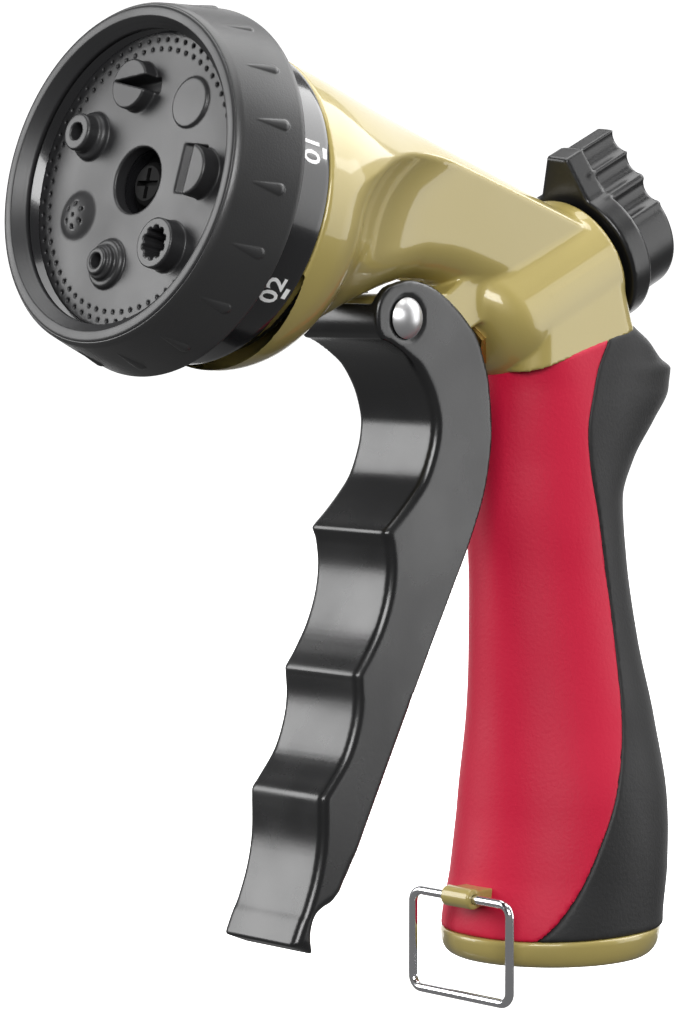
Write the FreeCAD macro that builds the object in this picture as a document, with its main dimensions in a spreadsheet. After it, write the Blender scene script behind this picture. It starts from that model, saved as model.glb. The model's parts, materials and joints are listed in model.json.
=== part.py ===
import FreeCAD, Part
import math
import os
import Sketcher

# Pistol-grip hose nozzle with a rotating pattern head, a squeezed front trigger and a rear flow knob.
# Frame: +Z up, the spray leaves towards -Y, +X is the left side, origin at the centre of the hose inlet's mouth.

V = FreeCAD.Vector
DIMENSIONS = {
    # head, measured along its own axis from the front rim
    "head_y": -103.55, "head_z": 142.64, "head_pitch": 13.88,
    "rim_radius": 29.0, "ring_rear_radius": 31.7, "ring_depth": 13.0, "rim_inner_radius": 25.6,
    "lip_depth": 1.6, "edge_round": 0.9, "cup_radius": 27.4, "cup_inner_radius": 25.2, "cup_depth": 22.6,
    "face_depth": 4.8, "face_thickness": 2.5, "outlet_radius": 4.25, "centre_hole_radius": 5.65,
    "post_radius": 5.0, "running_gap": 0.05, "body_gap": 0.3,
    "rib_count": 18.0, "rib_start": 4.0, "rib_length": 5.6,
    # valve line, rising backwards through the rear boss
    "valve_y": -10.9, "valve_z": 119.8, "valve_pitch": 24.3,
    "boss_radius": 12.9, "boss_rear": 17.8, "boss_front": 12.0, "nose_radius": 9.0,
    "chamber_radius": 7.0, "rear_chamber_radius": 9.5, "seat_start": 0.5, "seat_length": 2.0,
    "stem_radius": 2.5, "stem_tip": 30.4, "spindle_radius": 3.0,
    "knob_start": 19.1, "knob_radius": 13.7, "knob_disc": 5.2, "knob_grip": 9.7,
    "knob_bulb": 11.6, "knob_rest_turn": 7.5, "groove_radius": 2.6,
    # trigger
    "pivot_y": -46.5, "pivot_z": 118.0, "pin_radius": 2.4, "trigger_width": 19.6, "channel_width": 16.4,
    "lug_radius": 4.2, "lug_width": 15.6,
    # handle and hose end
    "inlet_radius": 13.5, "inlet_length": 11.0, "shank_radius": 14.9, "shank_top": 16.5,
    "base_top": 4.9, "washer_radius": 13.9, "washer_thickness": 2.2, "water_radius": 9.0,
    # lock ring
    "wire_radius": 0.825, "ring_width": 24.8, "ring_height": 18.0, "ring_corner": 2.2,
    "ring_y": -23.1, "ring_z": 12.6, "knuckle_radius": 1.9, "knuckle_length": 7.0,
}
D = DIMENSIONS

HEAD_FRAME = ("Dims.head_y", "Dims.head_z", "90 - Dims.head_pitch")
VALVE_FRAME = ("Dims.valve_y", "Dims.valve_z", "Dims.valve_pitch - 90")
WORLD_FRAME = ("0", "0", "0")

# Seven outlets round the face: clock angle in degrees from the top towards +X, and distance from the centre.
OUTLETS = {
    "fan": (347.0, 16.3), "soaker": (38.0, 16.4), "flat": (87.0, 16.0), "shower": (136.0, 15.8),
    "cone": (194.0, 14.8), "mist": (246.0, 15.0), "jet": (299.0, 15.6),
}

# Handle outline by height: height, centre y, half width, front depth, rear depth (the thumb rest swells it).
HANDLE_STATIONS = [
    (4.9, 0.8, 19.0, 20.9, 20.9), (16.0, 2.6, 19.0, 21.2, 21.2), (28.0, 3.4, 18.4, 20.6, 20.6),
    (43.0, 2.7, 16.1, 18.9, 18.9), (58.0, 0.8, 14.2, 17.0, 17.0), (73.0, -0.8, 13.1, 16.0, 16.0),
    (84.0, -2.0, 12.9, 15.8, 16.2), (91.0, -2.2, 12.9, 15.7, 20.2), (98.0, -2.4, 12.9, 15.6, 26.2),
    (104.0, -2.4, 12.9, 15.5, 30.0), (108.0, -2.4, 12.9, 15.4, 28.6), (112.0, -2.4, 12.9, 15.3, 21.5),
    (119.0, -2.4, 12.9, 15.2, 12.6),
]
CORE_INSET = 3.0
# Top edge of the grips: a plane that rises towards the back.
GRIP_TOP = {"height": 113.1, "slope": 0.27}
# Line between the front and rear grips, seen from the side.
GRIP_SPLIT = [(6.0, 125.0), (1.6, 113.0), (-2.4, 103.0), (-3.4, 95.0), (-0.6, 80.0), (1.9, 64.0), (2.9, 51.0),
              (1.9, 39.0), (-1.6, 28.3), (-6.6, 17.6), (-15.7, 4.9), (-24.0, -3.0)]

# Barrel outline across the head axis: distance behind the rim, half width, top, bottom, squareness.
BARREL_STATIONS = [
    (25.0, 27.0, 27.0, -27.0, 2.0), (30.0, 26.7, 26.7, -26.7, 2.0), (39.0, 19.0, 25.6, -17.8, 2.1),
    (47.5, 12.2, 24.7, -9.6, 2.3), (56.0, 10.8, 23.9, -5.4, 2.6), (66.0, 10.4, 22.9, -2.2, 2.8),
    (80.0, 10.0, 21.4, -1.4, 2.8), (93.0, 9.4, 20.1, -1.0, 2.8),
]
# Gold neck under the rear boss: height, centre y, half width, front depth, rear depth, squareness.
NECK_STATIONS = [(100.0, -2.4, 12.5, 15.1, 13.5, 2.2), (112.0, -2.4, 12.6, 15.1, 13.8, 3.0),
                 (122.0, -3.4, 12.5, 14.0, 11.6, 3.6)]

# Trigger seen from the side (y, z): front scallops as arcs through three points, then tip, back and ear.
TRIGGER_OUTLINE = [
    ("arc", (-53.2, 115.3), (-53.6, 120.4), (-47.3, 124.4)),
    ("arc", (-47.3, 124.4), (-34.6, 120.4), (-27.5, 110.4)),
    ("arc", (-27.5, 110.4), (-25.5, 98.5), (-28.2, 83.9)),
    ("line", (-28.2, 83.9), (-32.3, 75.1)),
    ("line", (-32.3, 75.1), (-61.3, 19.2)),
    ("arc", (-61.3, 19.2), (-66.5, 16.0), (-67.6, 9.1)),
    ("line", (-67.6, 9.1), (-72.5, 11.0)),
    ("arc", (-72.5, 11.0), (-67.2, 22.5), (-66.1, 35.6)),
    ("arc", (-66.1, 35.6), (-59.3, 44.6), (-58.1, 56.5)),
    ("arc", (-58.1, 56.5), (-51.4, 67.3), (-51.5, 80.9)),
    ("arc", (-51.5, 80.9), (-39.4, 97.0), (-49.2, 113.3)),
    ("line", (-49.2, 113.3), (-53.2, 115.3)),
]
# Hollow between the trigger's two side plates, open towards the handle.
CHANNEL_OUTLINE = [
    (-41.5, 130.0), (-41.5, 118.0), (-43.0, 112.6), (-40.3, 109.2), (-37.7, 103.8), (-36.8, 97.3), (-38.4, 90.5),
    (-43.0, 84.6), (-47.8, 79.6), (-48.2, 70.0), (-51.6, 61.0), (-54.8, 54.0), (-56.0, 46.0), (-60.4, 38.0),
    (-63.2, 32.0), (-63.4, 26.5), (-64.2, 22.0), (-55.0, 18.0), (-10.0, 60.0), (-10.0, 130.0),
]
PIVOT_RELIEF_RADIUS = 5.4
# Flow knob seen from behind: the pear-shaped grip's outline above its bulb, and the finger grooves' centres.
KNOB_PEAR = [(-8.0, -2.0), (-9.9, -6.4), (-1.9, -20.4), (1.9, -20.4), (9.9, -6.4), (8.0, -2.0)]
KNOB_GROOVES = [(4.1, -18.9), (6.6, -14.65), (9.4, -9.6)]
# Arm that carries the pivot lug forward from the valve nose, seen from the side.
LUG_ARM = [
    (-46.5, 122.2), (-34.5, 122.2), (-31.0, 124.5), (-20.0, 126.0), (-20.0, 118.5), (-25.5, 117.1), (-30.0, 115.0),
    (-34.0, 113.7), (-38.0, 113.6), (-41.0, 116.4), (-43.6, 115.0),
]

doc = FreeCAD.newDocument("HoseNozzle")
nodes = []


def make_sheet():
    sheet = doc.addObject("Spreadsheet::Sheet", "Dims")
    for row, (alias, value) in enumerate(DIMENSIONS.items(), 1):
        sheet.set(f"A{row}", alias)
        sheet.set(f"B{row}", str(value))
        sheet.setAlias(f"B{row}", alias)
    doc.recompute()


def value_of(formula):
    """Number that a formula over the sheet's cells stands for."""
    return float(doc.Dims.evalExpression(str(formula).replace("Dims.", "")))


def finish(obj, node, frame=WORLD_FRAME):
    """Names a finished sub-part and puts it in its frame: y, z and tilt about X, all bound to the sheet."""
    obj.Label = node
    obj.Placement = FreeCAD.Placement(V(0, value_of(frame[0]), value_of(frame[1])),
                                      FreeCAD.Rotation(V(1, 0, 0), value_of(frame[2])))
    if frame is not WORLD_FRAME:
        obj.setExpression("Placement.Base.y", frame[0])
        obj.setExpression("Placement.Base.z", frame[1])
        obj.setExpression("Placement.Rotation.Angle", frame[2])
    nodes.append(obj)
    return obj


def cylinder(radius, height, at=("0", "0", "0"), along="z"):
    """Cylinder whose radius, height and foot are formulas; along is the way it points from its foot."""
    turn = {"z": (V(0, 0, 1), 0), "-z": (V(1, 0, 0), 180), "x": (V(0, 1, 0), 90), "-y": (V(1, 0, 0), 90)}[along]
    obj = doc.addObject("Part::Cylinder", "Cylinder")
    obj.setExpression("Radius", str(radius))
    obj.setExpression("Height", str(height))
    obj.Placement = FreeCAD.Placement(V(0, 0, 0), FreeCAD.Rotation(*turn))
    for axis, formula in zip("xyz", at):
        obj.setExpression(f"Placement.Base.{axis}", str(formula))
    return obj


def fuse(*shapes):
    obj = doc.addObject("Part::MultiFuse", "Fusion")
    obj.Shapes = list(shapes)
    obj.Refine = False
    return obj


def cut(base, *tools):
    for tool in tools:
        obj = doc.addObject("Part::Cut", "Cut")
        obj.Base = base
        obj.Tool = tool
        obj.Refine = False
        base = obj
    return base


def common(first, second):
    obj = doc.addObject("Part::MultiCommon", "Common")
    obj.Shapes = [first, second]
    return obj


def feature(shape, name="Shape"):
    obj = doc.addObject("Part::Feature", name)
    obj.Shape = shape
    return obj


def sketch_on(body, role, name="Sketch"):
    plane = [p for p in body.Origin.OriginFeatures if p.Role == role][0]
    sketch = body.newObject("Sketcher::SketchObject", name)
    sketch.AttachmentSupport = [(plane, "")]
    sketch.MapMode = "FlatFace"
    return sketch


def close_loop(sketch, count):
    """Joins each edge's end to the next edge's start; an arc drawn clockwise has its two ends swapped."""
    for i in range(count):
        after = (i + 1) % count
        pairs = [(a, b) for a in (1, 2) for b in (1, 2)]
        a, b = min(pairs, key=lambda p: (sketch.getPoint(i, p[0]) - sketch.getPoint(after, p[1])).Length)
        sketch.addConstraint(Sketcher.Constraint("Coincident", i, a, after, b))


def revolved(name, corners):
    """PartDesign revolution about Z. corners are (radius, height) formulas of the half section, in order."""
    body = doc.addObject("PartDesign::Body", name)
    sketch = sketch_on(body, "XZ_Plane")
    spots = [V(value_of(r), value_of(z), 0) for r, z in corners]
    for i, spot in enumerate(spots):
        sketch.addGeometry(Part.LineSegment(spot, spots[(i + 1) % len(spots)]), False)
    close_loop(sketch, len(spots))
    for i, formulas in enumerate(corners):
        for kind, number, formula in zip(("DistanceX", "DistanceY"), (spots[i].x, spots[i].y), formulas):
            index = sketch.addConstraint(Sketcher.Constraint(kind, -1, 1, i, 1, number))
            sketch.setExpression(f"Constraints[{index}]", formula)
    turn = body.newObject("PartDesign::Revolution", "Revolution")
    turn.Profile = sketch
    turn.ReferenceAxis = (sketch, ["V_Axis"])
    turn.Angle = 360
    return body


def pad_both_ways(body, segments, length, role="YZ_Plane", kind="PartDesign::Pad"):
    """Pads or pockets a side outline evenly about the middle plane."""
    sketch = sketch_on(body, role)
    for segment in segments:
        spots = [V(a, b, 0) for a, b in segment[1:]]
        edge = Part.LineSegment(*spots) if segment[0] == "line" else Part.Arc(*spots)
        sketch.addGeometry(edge, False)
    close_loop(sketch, len(segments))
    for i in range(len(segments)):
        sketch.addConstraint(Sketcher.Constraint("Block", i))
    step = body.newObject(kind, "Step")
    step.Profile = sketch
    step.SideType = "Symmetric"
    step.setExpression("Length", length)
    doc.recompute()
    return step


def polygon_segments(corners):
    return [("line", a, corners[(i + 1) % len(corners)]) for i, a in enumerate(corners)]


def oval(half_width, front, rear, squareness, count=6):
    """Right half of a closed oval, from its rear point to its front point; squareness 2 is an ellipse."""
    points = []
    for i in range(count + 1):
        turn = math.pi * (0.5 - i / count)
        c, s = (0.0 if i in (0, count) else math.cos(turn)), math.sin(turn)
        depth = rear if s > 0 else front
        power = 2.0 / squareness
        points.append((half_width * c ** power, depth * math.copysign(abs(s) ** power, s)))
    return points


def loop_wire(half):
    """Closed wire from the points of its right half and their mirror image across x = 0."""
    across = V(1, 0, 0)
    steps = [float(i) for i in range(len(half))]
    right, left = Part.BSplineCurve(), Part.BSplineCurve()
    right.interpolate(Points=half, Parameters=steps, InitialTangent=across, FinalTangent=-across)
    other = [V(-p.x, p.y, p.z) for p in reversed(half)]
    left.interpolate(Points=other, Parameters=steps, InitialTangent=-across, FinalTangent=across)
    return Part.Wire([right.toShape(), left.toShape()])


def upright_loft(stations, inset=0.0, bump=True):
    """Solid through level ovals given as (height, centre y, half width, front, rear, squareness)."""
    wires = []
    for z, centre, half_width, front, rear, *square in stations:
        back = rear if bump else front
        outline = oval(half_width - inset, front - inset, back - inset, square[0] if square else 2.0)
        wires.append(loop_wire([V(x, centre + y, z) for x, y in outline]))
    return Part.makeLoft(wires, True, False)


def head_vectors():
    tilt = math.radians(D["head_pitch"])
    rim = V(0, D["head_y"], D["head_z"])
    return rim, V(0, -math.cos(tilt), math.sin(tilt)), V(0, math.sin(tilt), math.cos(tilt))


def valve_vectors():
    tilt = math.radians(D["valve_pitch"])
    return V(0, D["valve_y"], D["valve_z"]), V(0, math.cos(tilt), math.sin(tilt)), V(0, -math.sin(tilt), math.cos(tilt))


def barrel_loft():
    rim, forward, up = head_vectors()
    wires = []
    for back, half_width, top, bottom, squareness in BARREL_STATIONS:
        outline = oval(half_width, (top - bottom) / 2, (top - bottom) / 2, squareness)
        middle = rim - forward * back + up * ((top + bottom) / 2)
        wires.append(loop_wire([middle + V(x, 0, 0) + up * y for x, y in outline]))
    return Part.makeLoft(wires, True, False)


def rod_between(start, end, radius):
    return Part.makeCylinder(radius, (end - start).Length, start, end - start)


def grip_top_cutter(above):
    """Half space above the grips' sloping top edge, or below it."""
    size = 80.0
    slab = Part.makeBox(size, size, size, V(-size / 2, -size / 2, 0 if above else -size))
    slab.rotate(V(0, 0, 0), V(1, 0, 0), math.degrees(math.atan(GRIP_TOP["slope"])))
    slab.translate(V(0, 0, GRIP_TOP["height"]))
    return slab


def split_slab():
    """Everything in front of the line between the two grips."""
    curve = Part.BSplineCurve()
    curve.interpolate([V(-40, y, z) for y, z in GRIP_SPLIT])
    corner_top = V(-40, -60, GRIP_SPLIT[0][1])
    corner_low = V(-40, -60, GRIP_SPLIT[-1][1])
    first, last = V(-40, *GRIP_SPLIT[0]), V(-40, *GRIP_SPLIT[-1])
    edges = [curve.toShape(), Part.makeLine(last, corner_low), Part.makeLine(corner_low, corner_top),
             Part.makeLine(corner_top, first)]
    return Part.Face(Part.Wire(Part.__sortEdges__(edges))).extrude(V(80, 0, 0))


def in_valve_frame(obj):
    """Stands a local-frame tool on the valve line, so that it can cut a part modelled in the main frame."""
    obj.Placement = FreeCAD.Placement(V(0, D["valve_y"], D["valve_z"]),
                                      FreeCAD.Rotation(V(1, 0, 0), D["valve_pitch"] - 90))
    return obj


def in_head_frame(obj):
    obj.Placement = FreeCAD.Placement(V(0, D["head_y"], D["head_z"]),
                                      FreeCAD.Rotation(V(1, 0, 0), 90 - D["head_pitch"]))
    return obj


def body_casting():
    """Painted casting: barrel hood, rear valve boss, neck, trigger lug and the core inside the grips."""
    point, along, up = valve_vectors()
    rim, forward, head_up = head_vectors()
    lip = in_head_frame(revolved("Lip", [
        ("0", "-Dims.cup_depth - Dims.body_gap"), ("Dims.cup_radius - 0.1", "-Dims.cup_depth - Dims.body_gap"),
        ("Dims.cup_radius - 0.1", "-26.6"), ("0", "-26.6")]))
    boss = in_valve_frame(revolved("Boss", [
        ("0", "-Dims.boss_front"), ("Dims.nose_radius", "-Dims.boss_front"), ("Dims.nose_radius + 1", "-4"),
        ("Dims.boss_radius", "2"), ("Dims.boss_radius", "Dims.boss_rear - 0.6"),
        ("Dims.boss_radius - 0.6", "Dims.boss_rear"), ("0", "Dims.boss_rear")]))
    arm_spots = [V(-D["lug_width"] / 2, y, z) for y, z in LUG_ARM]
    arm = Part.Face(Part.makePolygon(arm_spots + arm_spots[:1])).extrude(V(D["lug_width"], 0, 0))
    lug = fuse(cylinder("Dims.lug_radius", "Dims.lug_width",
                        ("-Dims.lug_width / 2", "Dims.pivot_y", "Dims.pivot_z"), "x"), feature(arm, "LugArm"))
    barrel = feature(barrel_loft(), "Barrel")
    neck = feature(upright_loft(NECK_STATIONS), "Neck")
    core = feature(upright_loft(HANDLE_STATIONS, CORE_INSET, bump=False), "Core")
    neck_above = cut(neck, feature(grip_top_cutter(above=False)))
    solid = fuse(lip, barrel, boss, lug, neck_above, core)
    behind_boss = Part.makeBox(60, 40, 40, V(-30, -20, 0))
    behind_boss.Placement = FreeCAD.Placement(point + along * D["boss_rear"],
                                              FreeCAD.Rotation(V(1, 0, 0), D["valve_pitch"] - 90))
    trim = common(feature(behind_boss), feature(Part.makeBox(60, 60, 40, V(-30, -10, 112))))
    hollow = in_valve_frame(revolved("ValveBore", [
        ("0", "-34"), ("3.2", "-34"), ("3.2", "-15.4"), ("6.8", "-15.4"), ("6.8", "-Dims.boss_front"),
        ("5", "-Dims.boss_front"), ("5", "-8"), ("Dims.chamber_radius", "-8"),
        ("Dims.chamber_radius", "Dims.seat_start"), ("Dims.rear_chamber_radius", "Dims.seat_start"),
        ("Dims.rear_chamber_radius", "30"), ("0", "30")]))
    front_bore = in_head_frame(revolved("FrontBore", [
        ("0", "-20"), ("25", "-20"), ("25", "-27"), ("20", "-27"), ("5", "-46"), ("0", "-46")]))
    duct = feature(rod_between(rim - forward * 43 + head_up * 6, point - along * 2 + up * 7.5, 4.5), "Duct")
    drop = feature(rod_between(V(0, 3.2, 118), V(0, 3.2, 92), 3.2), "Drop")
    riser = feature(Part.makeLoft([Part.Wire(Part.makeCircle(r, V(0, y, z))) for r, y, z in
                                   ((9.0, 0.8, 16.0), (10.4, 2.6, 40.0), (8.4, -0.8, 72.0), (7.8, -2.2, 103.0))],
                                  True, False), "Riser")
    socket = cylinder("Dims.shank_radius", "Dims.shank_top + 1", ("0", "0", "-1"))
    pin_bore = cylinder("Dims.pin_radius", "40", ("-20", "Dims.pivot_y", "Dims.pivot_z"), "x")
    return finish(cut(solid, trim, hollow, front_bore, duct, drop, riser, socket, pin_bore), "body_casting")


def hose_connector():
    bottom = loop_wire([V(x, y, 0) for x, y in oval(18.0, 18.4, 18.4, 2.0)])
    levels = [(0.9, 18.9, 19.6), (1.8, 19.3, 20.7), (4.9, 19.5, 21.4)]
    wires = [bottom] + [loop_wire([V(x, y + 0.4 * z / 4.9, z) for x, y in oval(a, b, b, 2.0)]) for z, a, b in levels]
    flange = feature(Part.makeLoft(wires, True, True), "Flange")
    shank = cylinder("Dims.shank_radius", "Dims.shank_top")
    thread = cylinder("Dims.inlet_radius", "Dims.inlet_length")
    pocket = cylinder("Dims.washer_radius", "Dims.washer_thickness", ("0", "0", "Dims.inlet_length"))
    passage = cylinder("Dims.water_radius", "40")
    return finish(cut(fuse(flange, shank), thread, pocket, passage), "hose_connector")


def hose_washer():
    return finish(revolved("HoseWasher", [
        ("8.6", "Dims.inlet_length"), ("Dims.washer_radius", "Dims.inlet_length"),
        ("Dims.washer_radius", "Dims.inlet_length + Dims.washer_thickness"),
        ("8.6", "Dims.inlet_length + Dims.washer_thickness")]), "hose_washer")


def filter_screen():
    """Domed strainer that sits in the passage above the washer."""
    base = D["inlet_length"] + D["washer_thickness"]
    disc = revolved("FilterScreen", [("0", f"{base} + 1.9"), ("0", f"{base} + 1.3"), ("8.0", f"{base}"),
                                     ("8.98", f"{base}"), ("8.98", f"{base} + 0.9"), ("8.2", f"{base} + 0.6")])
    holes = [Part.makeCylinder(0.7, 6, V(r * math.cos(t), r * math.sin(t), base - 1))
             for r, n in ((2.6, 6), (5.2, 12)) for t in [2 * math.pi * i / n for i in range(n)]]
    return finish(cut(disc, feature(Part.makeCompound(holes))), "filter_screen")


def grips():
    """Soft front and rear grips: shells round the core, split along one curved line."""
    outer = upright_loft(HANDLE_STATIONS).cut(grip_top_cutter(above=True))
    casting = [n for n in nodes if n.Label == "body_casting"][0].Shape
    connector = [n for n in nodes if n.Label == "hose_connector"][0].Shape
    core = upright_loft(HANDLE_STATIONS, CORE_INSET, bump=False)
    shell = outer.cut(core).cut(casting).cut(connector)
    rear_boss = Part.makeCylinder(D["rear_chamber_radius"] + 2, 40, *valve_vectors()[:2])
    shell = shell.cut(rear_boss)
    bracket_slot = Part.makeBox(7.0, 12.0, 4.0, V(-3.5, -26.0, D["ring_z"] - 1.9))
    front = shell.common(split_slab()).cut(bracket_slot)
    rear = shell.cut(split_slab())
    for shape, node in ((front, "front_grip"), (rear, "rear_grip")):
        largest = max(shape.Solids, key=lambda s: s.Volume)
        finish(feature(largest, node), node)


def ring_bracket():
    """Lug through the front grip with a knuckle that holds the lock ring's top wire."""
    front = -15.6
    block = feature(Part.makeBox(D["knuckle_length"], front - D["ring_y"], 3.0,
                                 V(-D["knuckle_length"] / 2, D["ring_y"], D["ring_z"] - 1.5)))
    inner = feature(upright_loft(HANDLE_STATIONS[:3], CORE_INSET, bump=False))
    knuckle = cylinder("Dims.knuckle_radius", "Dims.knuckle_length",
                       ("-Dims.knuckle_length / 2", "Dims.ring_y", "Dims.ring_z"), "x")
    bore = cylinder("Dims.wire_radius + Dims.running_gap", "40", ("-20", "Dims.ring_y", "Dims.ring_z"), "x")
    return finish(cut(fuse(block, knuckle), inner, bore), "ring_bracket")


def lock_ring():
    """Rectangular wire bail with rounded corners, hanging from the knuckle."""
    across = "(Dims.ring_width / 2 - Dims.ring_corner)"
    drop = "(Dims.ring_height - 2 * Dims.ring_corner)"
    pieces = []
    for level in ("0", "-Dims.ring_height"):
        pieces.append(cylinder("Dims.wire_radius", f"2 * {across}", (f"-{across}", "0", level), "x"))
    for side in ("-1", "1"):
        pieces.append(cylinder("Dims.wire_radius", drop,
                               (f"{side} * Dims.ring_width / 2", "0", "-Dims.ring_corner"), "-z"))
    for side, level, turn in (("1", "-Dims.ring_corner", 0), ("-1", "-Dims.ring_corner", 90),
                              ("-1", "Dims.ring_corner - Dims.ring_height", 180),
                              ("1", "Dims.ring_corner - Dims.ring_height", 270)):
        bend = doc.addObject("Part::Torus", "Bend")
        bend.setExpression("Radius1", "Dims.ring_corner")
        bend.setExpression("Radius2", "Dims.wire_radius")
        bend.Angle3 = 90
        bend.Placement = FreeCAD.Placement(V(0, 0, 0), FreeCAD.Rotation(V(1, 0, 0), 90) *
                                           FreeCAD.Rotation(V(0, 0, 1), turn))
        bend.setExpression("Placement.Base.x", f"{side} * {across}")
        bend.setExpression("Placement.Base.z", level)
        pieces.append(bend)
    return finish(fuse(*pieces), "lock_ring", ("Dims.ring_y", "Dims.ring_z", "0"))


def trigger():
    """Squeeze lever: scalloped front web with two side plates, hung on the pivot pin."""
    body = doc.addObject("PartDesign::Body", "Trigger")
    pad_both_ways(body, TRIGGER_OUTLINE, "Dims.trigger_width")
    pad_both_ways(body, polygon_segments(CHANNEL_OUTLINE), "Dims.channel_width", kind="PartDesign::Pocket")
    relief = feature(Part.makeCylinder(PIVOT_RELIEF_RADIUS, D["channel_width"],
                                       V(-D["channel_width"] / 2, D["pivot_y"], D["pivot_z"]), V(1, 0, 0)))
    lug_room = feature(Part.makeBox(D["channel_width"], 10.4, 12,
                                    V(-D["channel_width"] / 2, D["pivot_y"] - PIVOT_RELIEF_RADIUS, D["pivot_z"])))
    pin_hole = cylinder("Dims.pin_radius + Dims.running_gap", "40",
                        ("-20", "Dims.pivot_y", "Dims.pivot_z"), "x")
    return finish(cut(body, relief, lug_room, pin_hole), "trigger")


def pivot_pin():
    """Headed pin through the ears and the lug, and the push-on cap on its far end."""
    half = D["trigger_width"] / 2 + D["body_gap"]
    shank = cylinder("Dims.pin_radius", 2 * half + 1.2, (-half - 1.2, "Dims.pivot_y", "Dims.pivot_z"), "x")
    dome_radius, head_radius = 4.4, 3.6
    dome = Part.makeSphere(dome_radius, V(half + 1.9 - dome_radius, D["pivot_y"], D["pivot_z"]))
    head = dome.common(Part.makeCylinder(head_radius, 6, V(half, D["pivot_y"], D["pivot_z"]), V(1, 0, 0)))
    finish(fuse(shank, feature(head)), "pivot_pin")
    cap = dome.mirror(V(0, 0, 0), V(1, 0, 0)).common(
        Part.makeCylinder(head_radius, 6, V(-half, D["pivot_y"], D["pivot_z"]), V(-1, 0, 0)))
    shank_room = cylinder("Dims.pin_radius", "40", ("-20", "Dims.pivot_y", "Dims.pivot_z"), "x")
    finish(cut(feature(cap), shank_room), "pivot_cap")


def valve_parts():
    """Gland, seal, seat, stem, washer and spring along the valve line."""
    gland = cut(fuse(revolved("GlandShank", [("0", "-8"), ("5", "-8"), ("5", "-Dims.boss_front"),
                                             ("0", "-Dims.boss_front")]),
                     hexagon(5.6, 3.0, "-Dims.boss_front - 3")),
                cylinder("Dims.stem_radius + Dims.running_gap", "40", ("0", "0", "-30")))
    finish(gland, "stem_gland", VALVE_FRAME)
    seal = "Dims.stem_radius + Dims.running_gap"
    finish(revolved("StemSeal", [(seal, "-8"), ("5.4", "-8"), ("5.4", "-6.4"), (seal, "-6.4")]),
           "stem_seal", VALVE_FRAME)
    end = "Dims.seat_start + Dims.seat_length"
    finish(revolved("Seat", [("4.6", f"{end}"), ("4.6", "Dims.seat_start"),
                             ("Dims.rear_chamber_radius", "Dims.seat_start"),
                             ("Dims.rear_chamber_radius", f"{end} - 0.4"), ("6.4", f"{end} - 0.4"),
                             ("5.8", f"{end}")]), "valve_seat", VALVE_FRAME)
    finish(revolved("Stem", [("0", "-Dims.stem_tip"), ("1.5", "0.4 - Dims.stem_tip"),
                             ("Dims.stem_radius", "1.6 - Dims.stem_tip"), ("Dims.stem_radius", "3.8"),
                             ("7.2", "3.8"), ("7.2", "5.3"), ("2", "5.3"), ("2", "8"), ("0", "8")]),
           "valve_stem", VALVE_FRAME)
    finish(revolved("Washer", [("Dims.stem_radius", "2.55"), ("7", "2.55"), ("7", "3.8"),
                               ("Dims.stem_radius", "3.8")]), "valve_washer", VALVE_FRAME)


def hexagon(across, height, level):
    """Hexagonal prism; across is the distance from its axis to a flat."""
    prism = doc.addObject("Part::Prism", "Hexagon")
    prism.Polygon = 6
    prism.setExpression("Circumradius", f"{across} / cos(30)")
    prism.setExpression("Height", str(height))
    prism.setExpression("Placement.Base.z", level)
    return prism


def return_spring():
    """Compression spring between the stem's shoulder and the flow sleeve."""
    wire_radius, coil_radius, length, turns = 0.45, 5.2, 7.4, 4
    shoulder = 5.3 + wire_radius
    helix = Part.makeHelix(length / turns, length, coil_radius)
    helix.translate(V(0, 0, shoulder))
    section = Part.Wire(Part.makeCircle(wire_radius, V(coil_radius, 0, shoulder), V(0, 1, 0)))
    coil = Part.Wire(helix.Edges).makePipeShell([section], True, True)
    return finish(feature(coil, "ReturnSpring"), "return_spring", VALVE_FRAME)


def flow_parts():
    """Rotary flow control: windowed sleeve on a spindle, its bonnet and seal, the knob and its screw."""
    sleeve = revolved("Sleeve", [("8.5", "9.7"), ("Dims.rear_chamber_radius - 0.08", "9.7"),
                                 ("Dims.rear_chamber_radius - 0.08", "14.7"), ("Dims.spindle_radius", "14.7"),
                                 ("Dims.spindle_radius", "30"), ("0", "30"), ("0", "13.8"), ("8.5", "13.8")])
    window = feature(Part.makeBox(9.0, 12.0, 3.3, V(-4.5, 0, 10.2)))
    screw_bore = cylinder("1.25", "9", ("0", "0", "21"))
    finish(cut(sleeve, window, screw_bore), "flow_spindle", VALVE_FRAME)
    hole = "Dims.spindle_radius + Dims.running_gap"
    finish(revolved("Bonnet", [(hole, "14.8"), ("Dims.rear_chamber_radius", "14.8"),
                               ("Dims.rear_chamber_radius", "Dims.boss_rear"), ("11.6", "Dims.boss_rear"),
                               ("11.6", "Dims.boss_rear + 0.8"), (hole, "Dims.boss_rear + 0.8"),
                               (hole, "17.6"), ("4.6", "17.6"), ("4.6", "16.2"), (hole, "16.2")]),
           "spindle_bonnet", VALVE_FRAME)
    finish(revolved("SpindleSeal", [(hole, "16.25"), ("4.55", "16.25"), ("4.55", "17.55"), (hole, "17.55")]),
           "spindle_seal", VALVE_FRAME)
    flow_knob()
    finish(revolved("KnobScrew", [("0", "22"), ("1.25", "22"), ("1.25", "31.2"), ("2.6", "31.2"),
                                  ("2.6", "32.6"), ("1.1", "32.6"), ("0.9", "31.9"), ("0", "31.9")]),
           "knob_screw", VALVE_FRAME)


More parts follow.
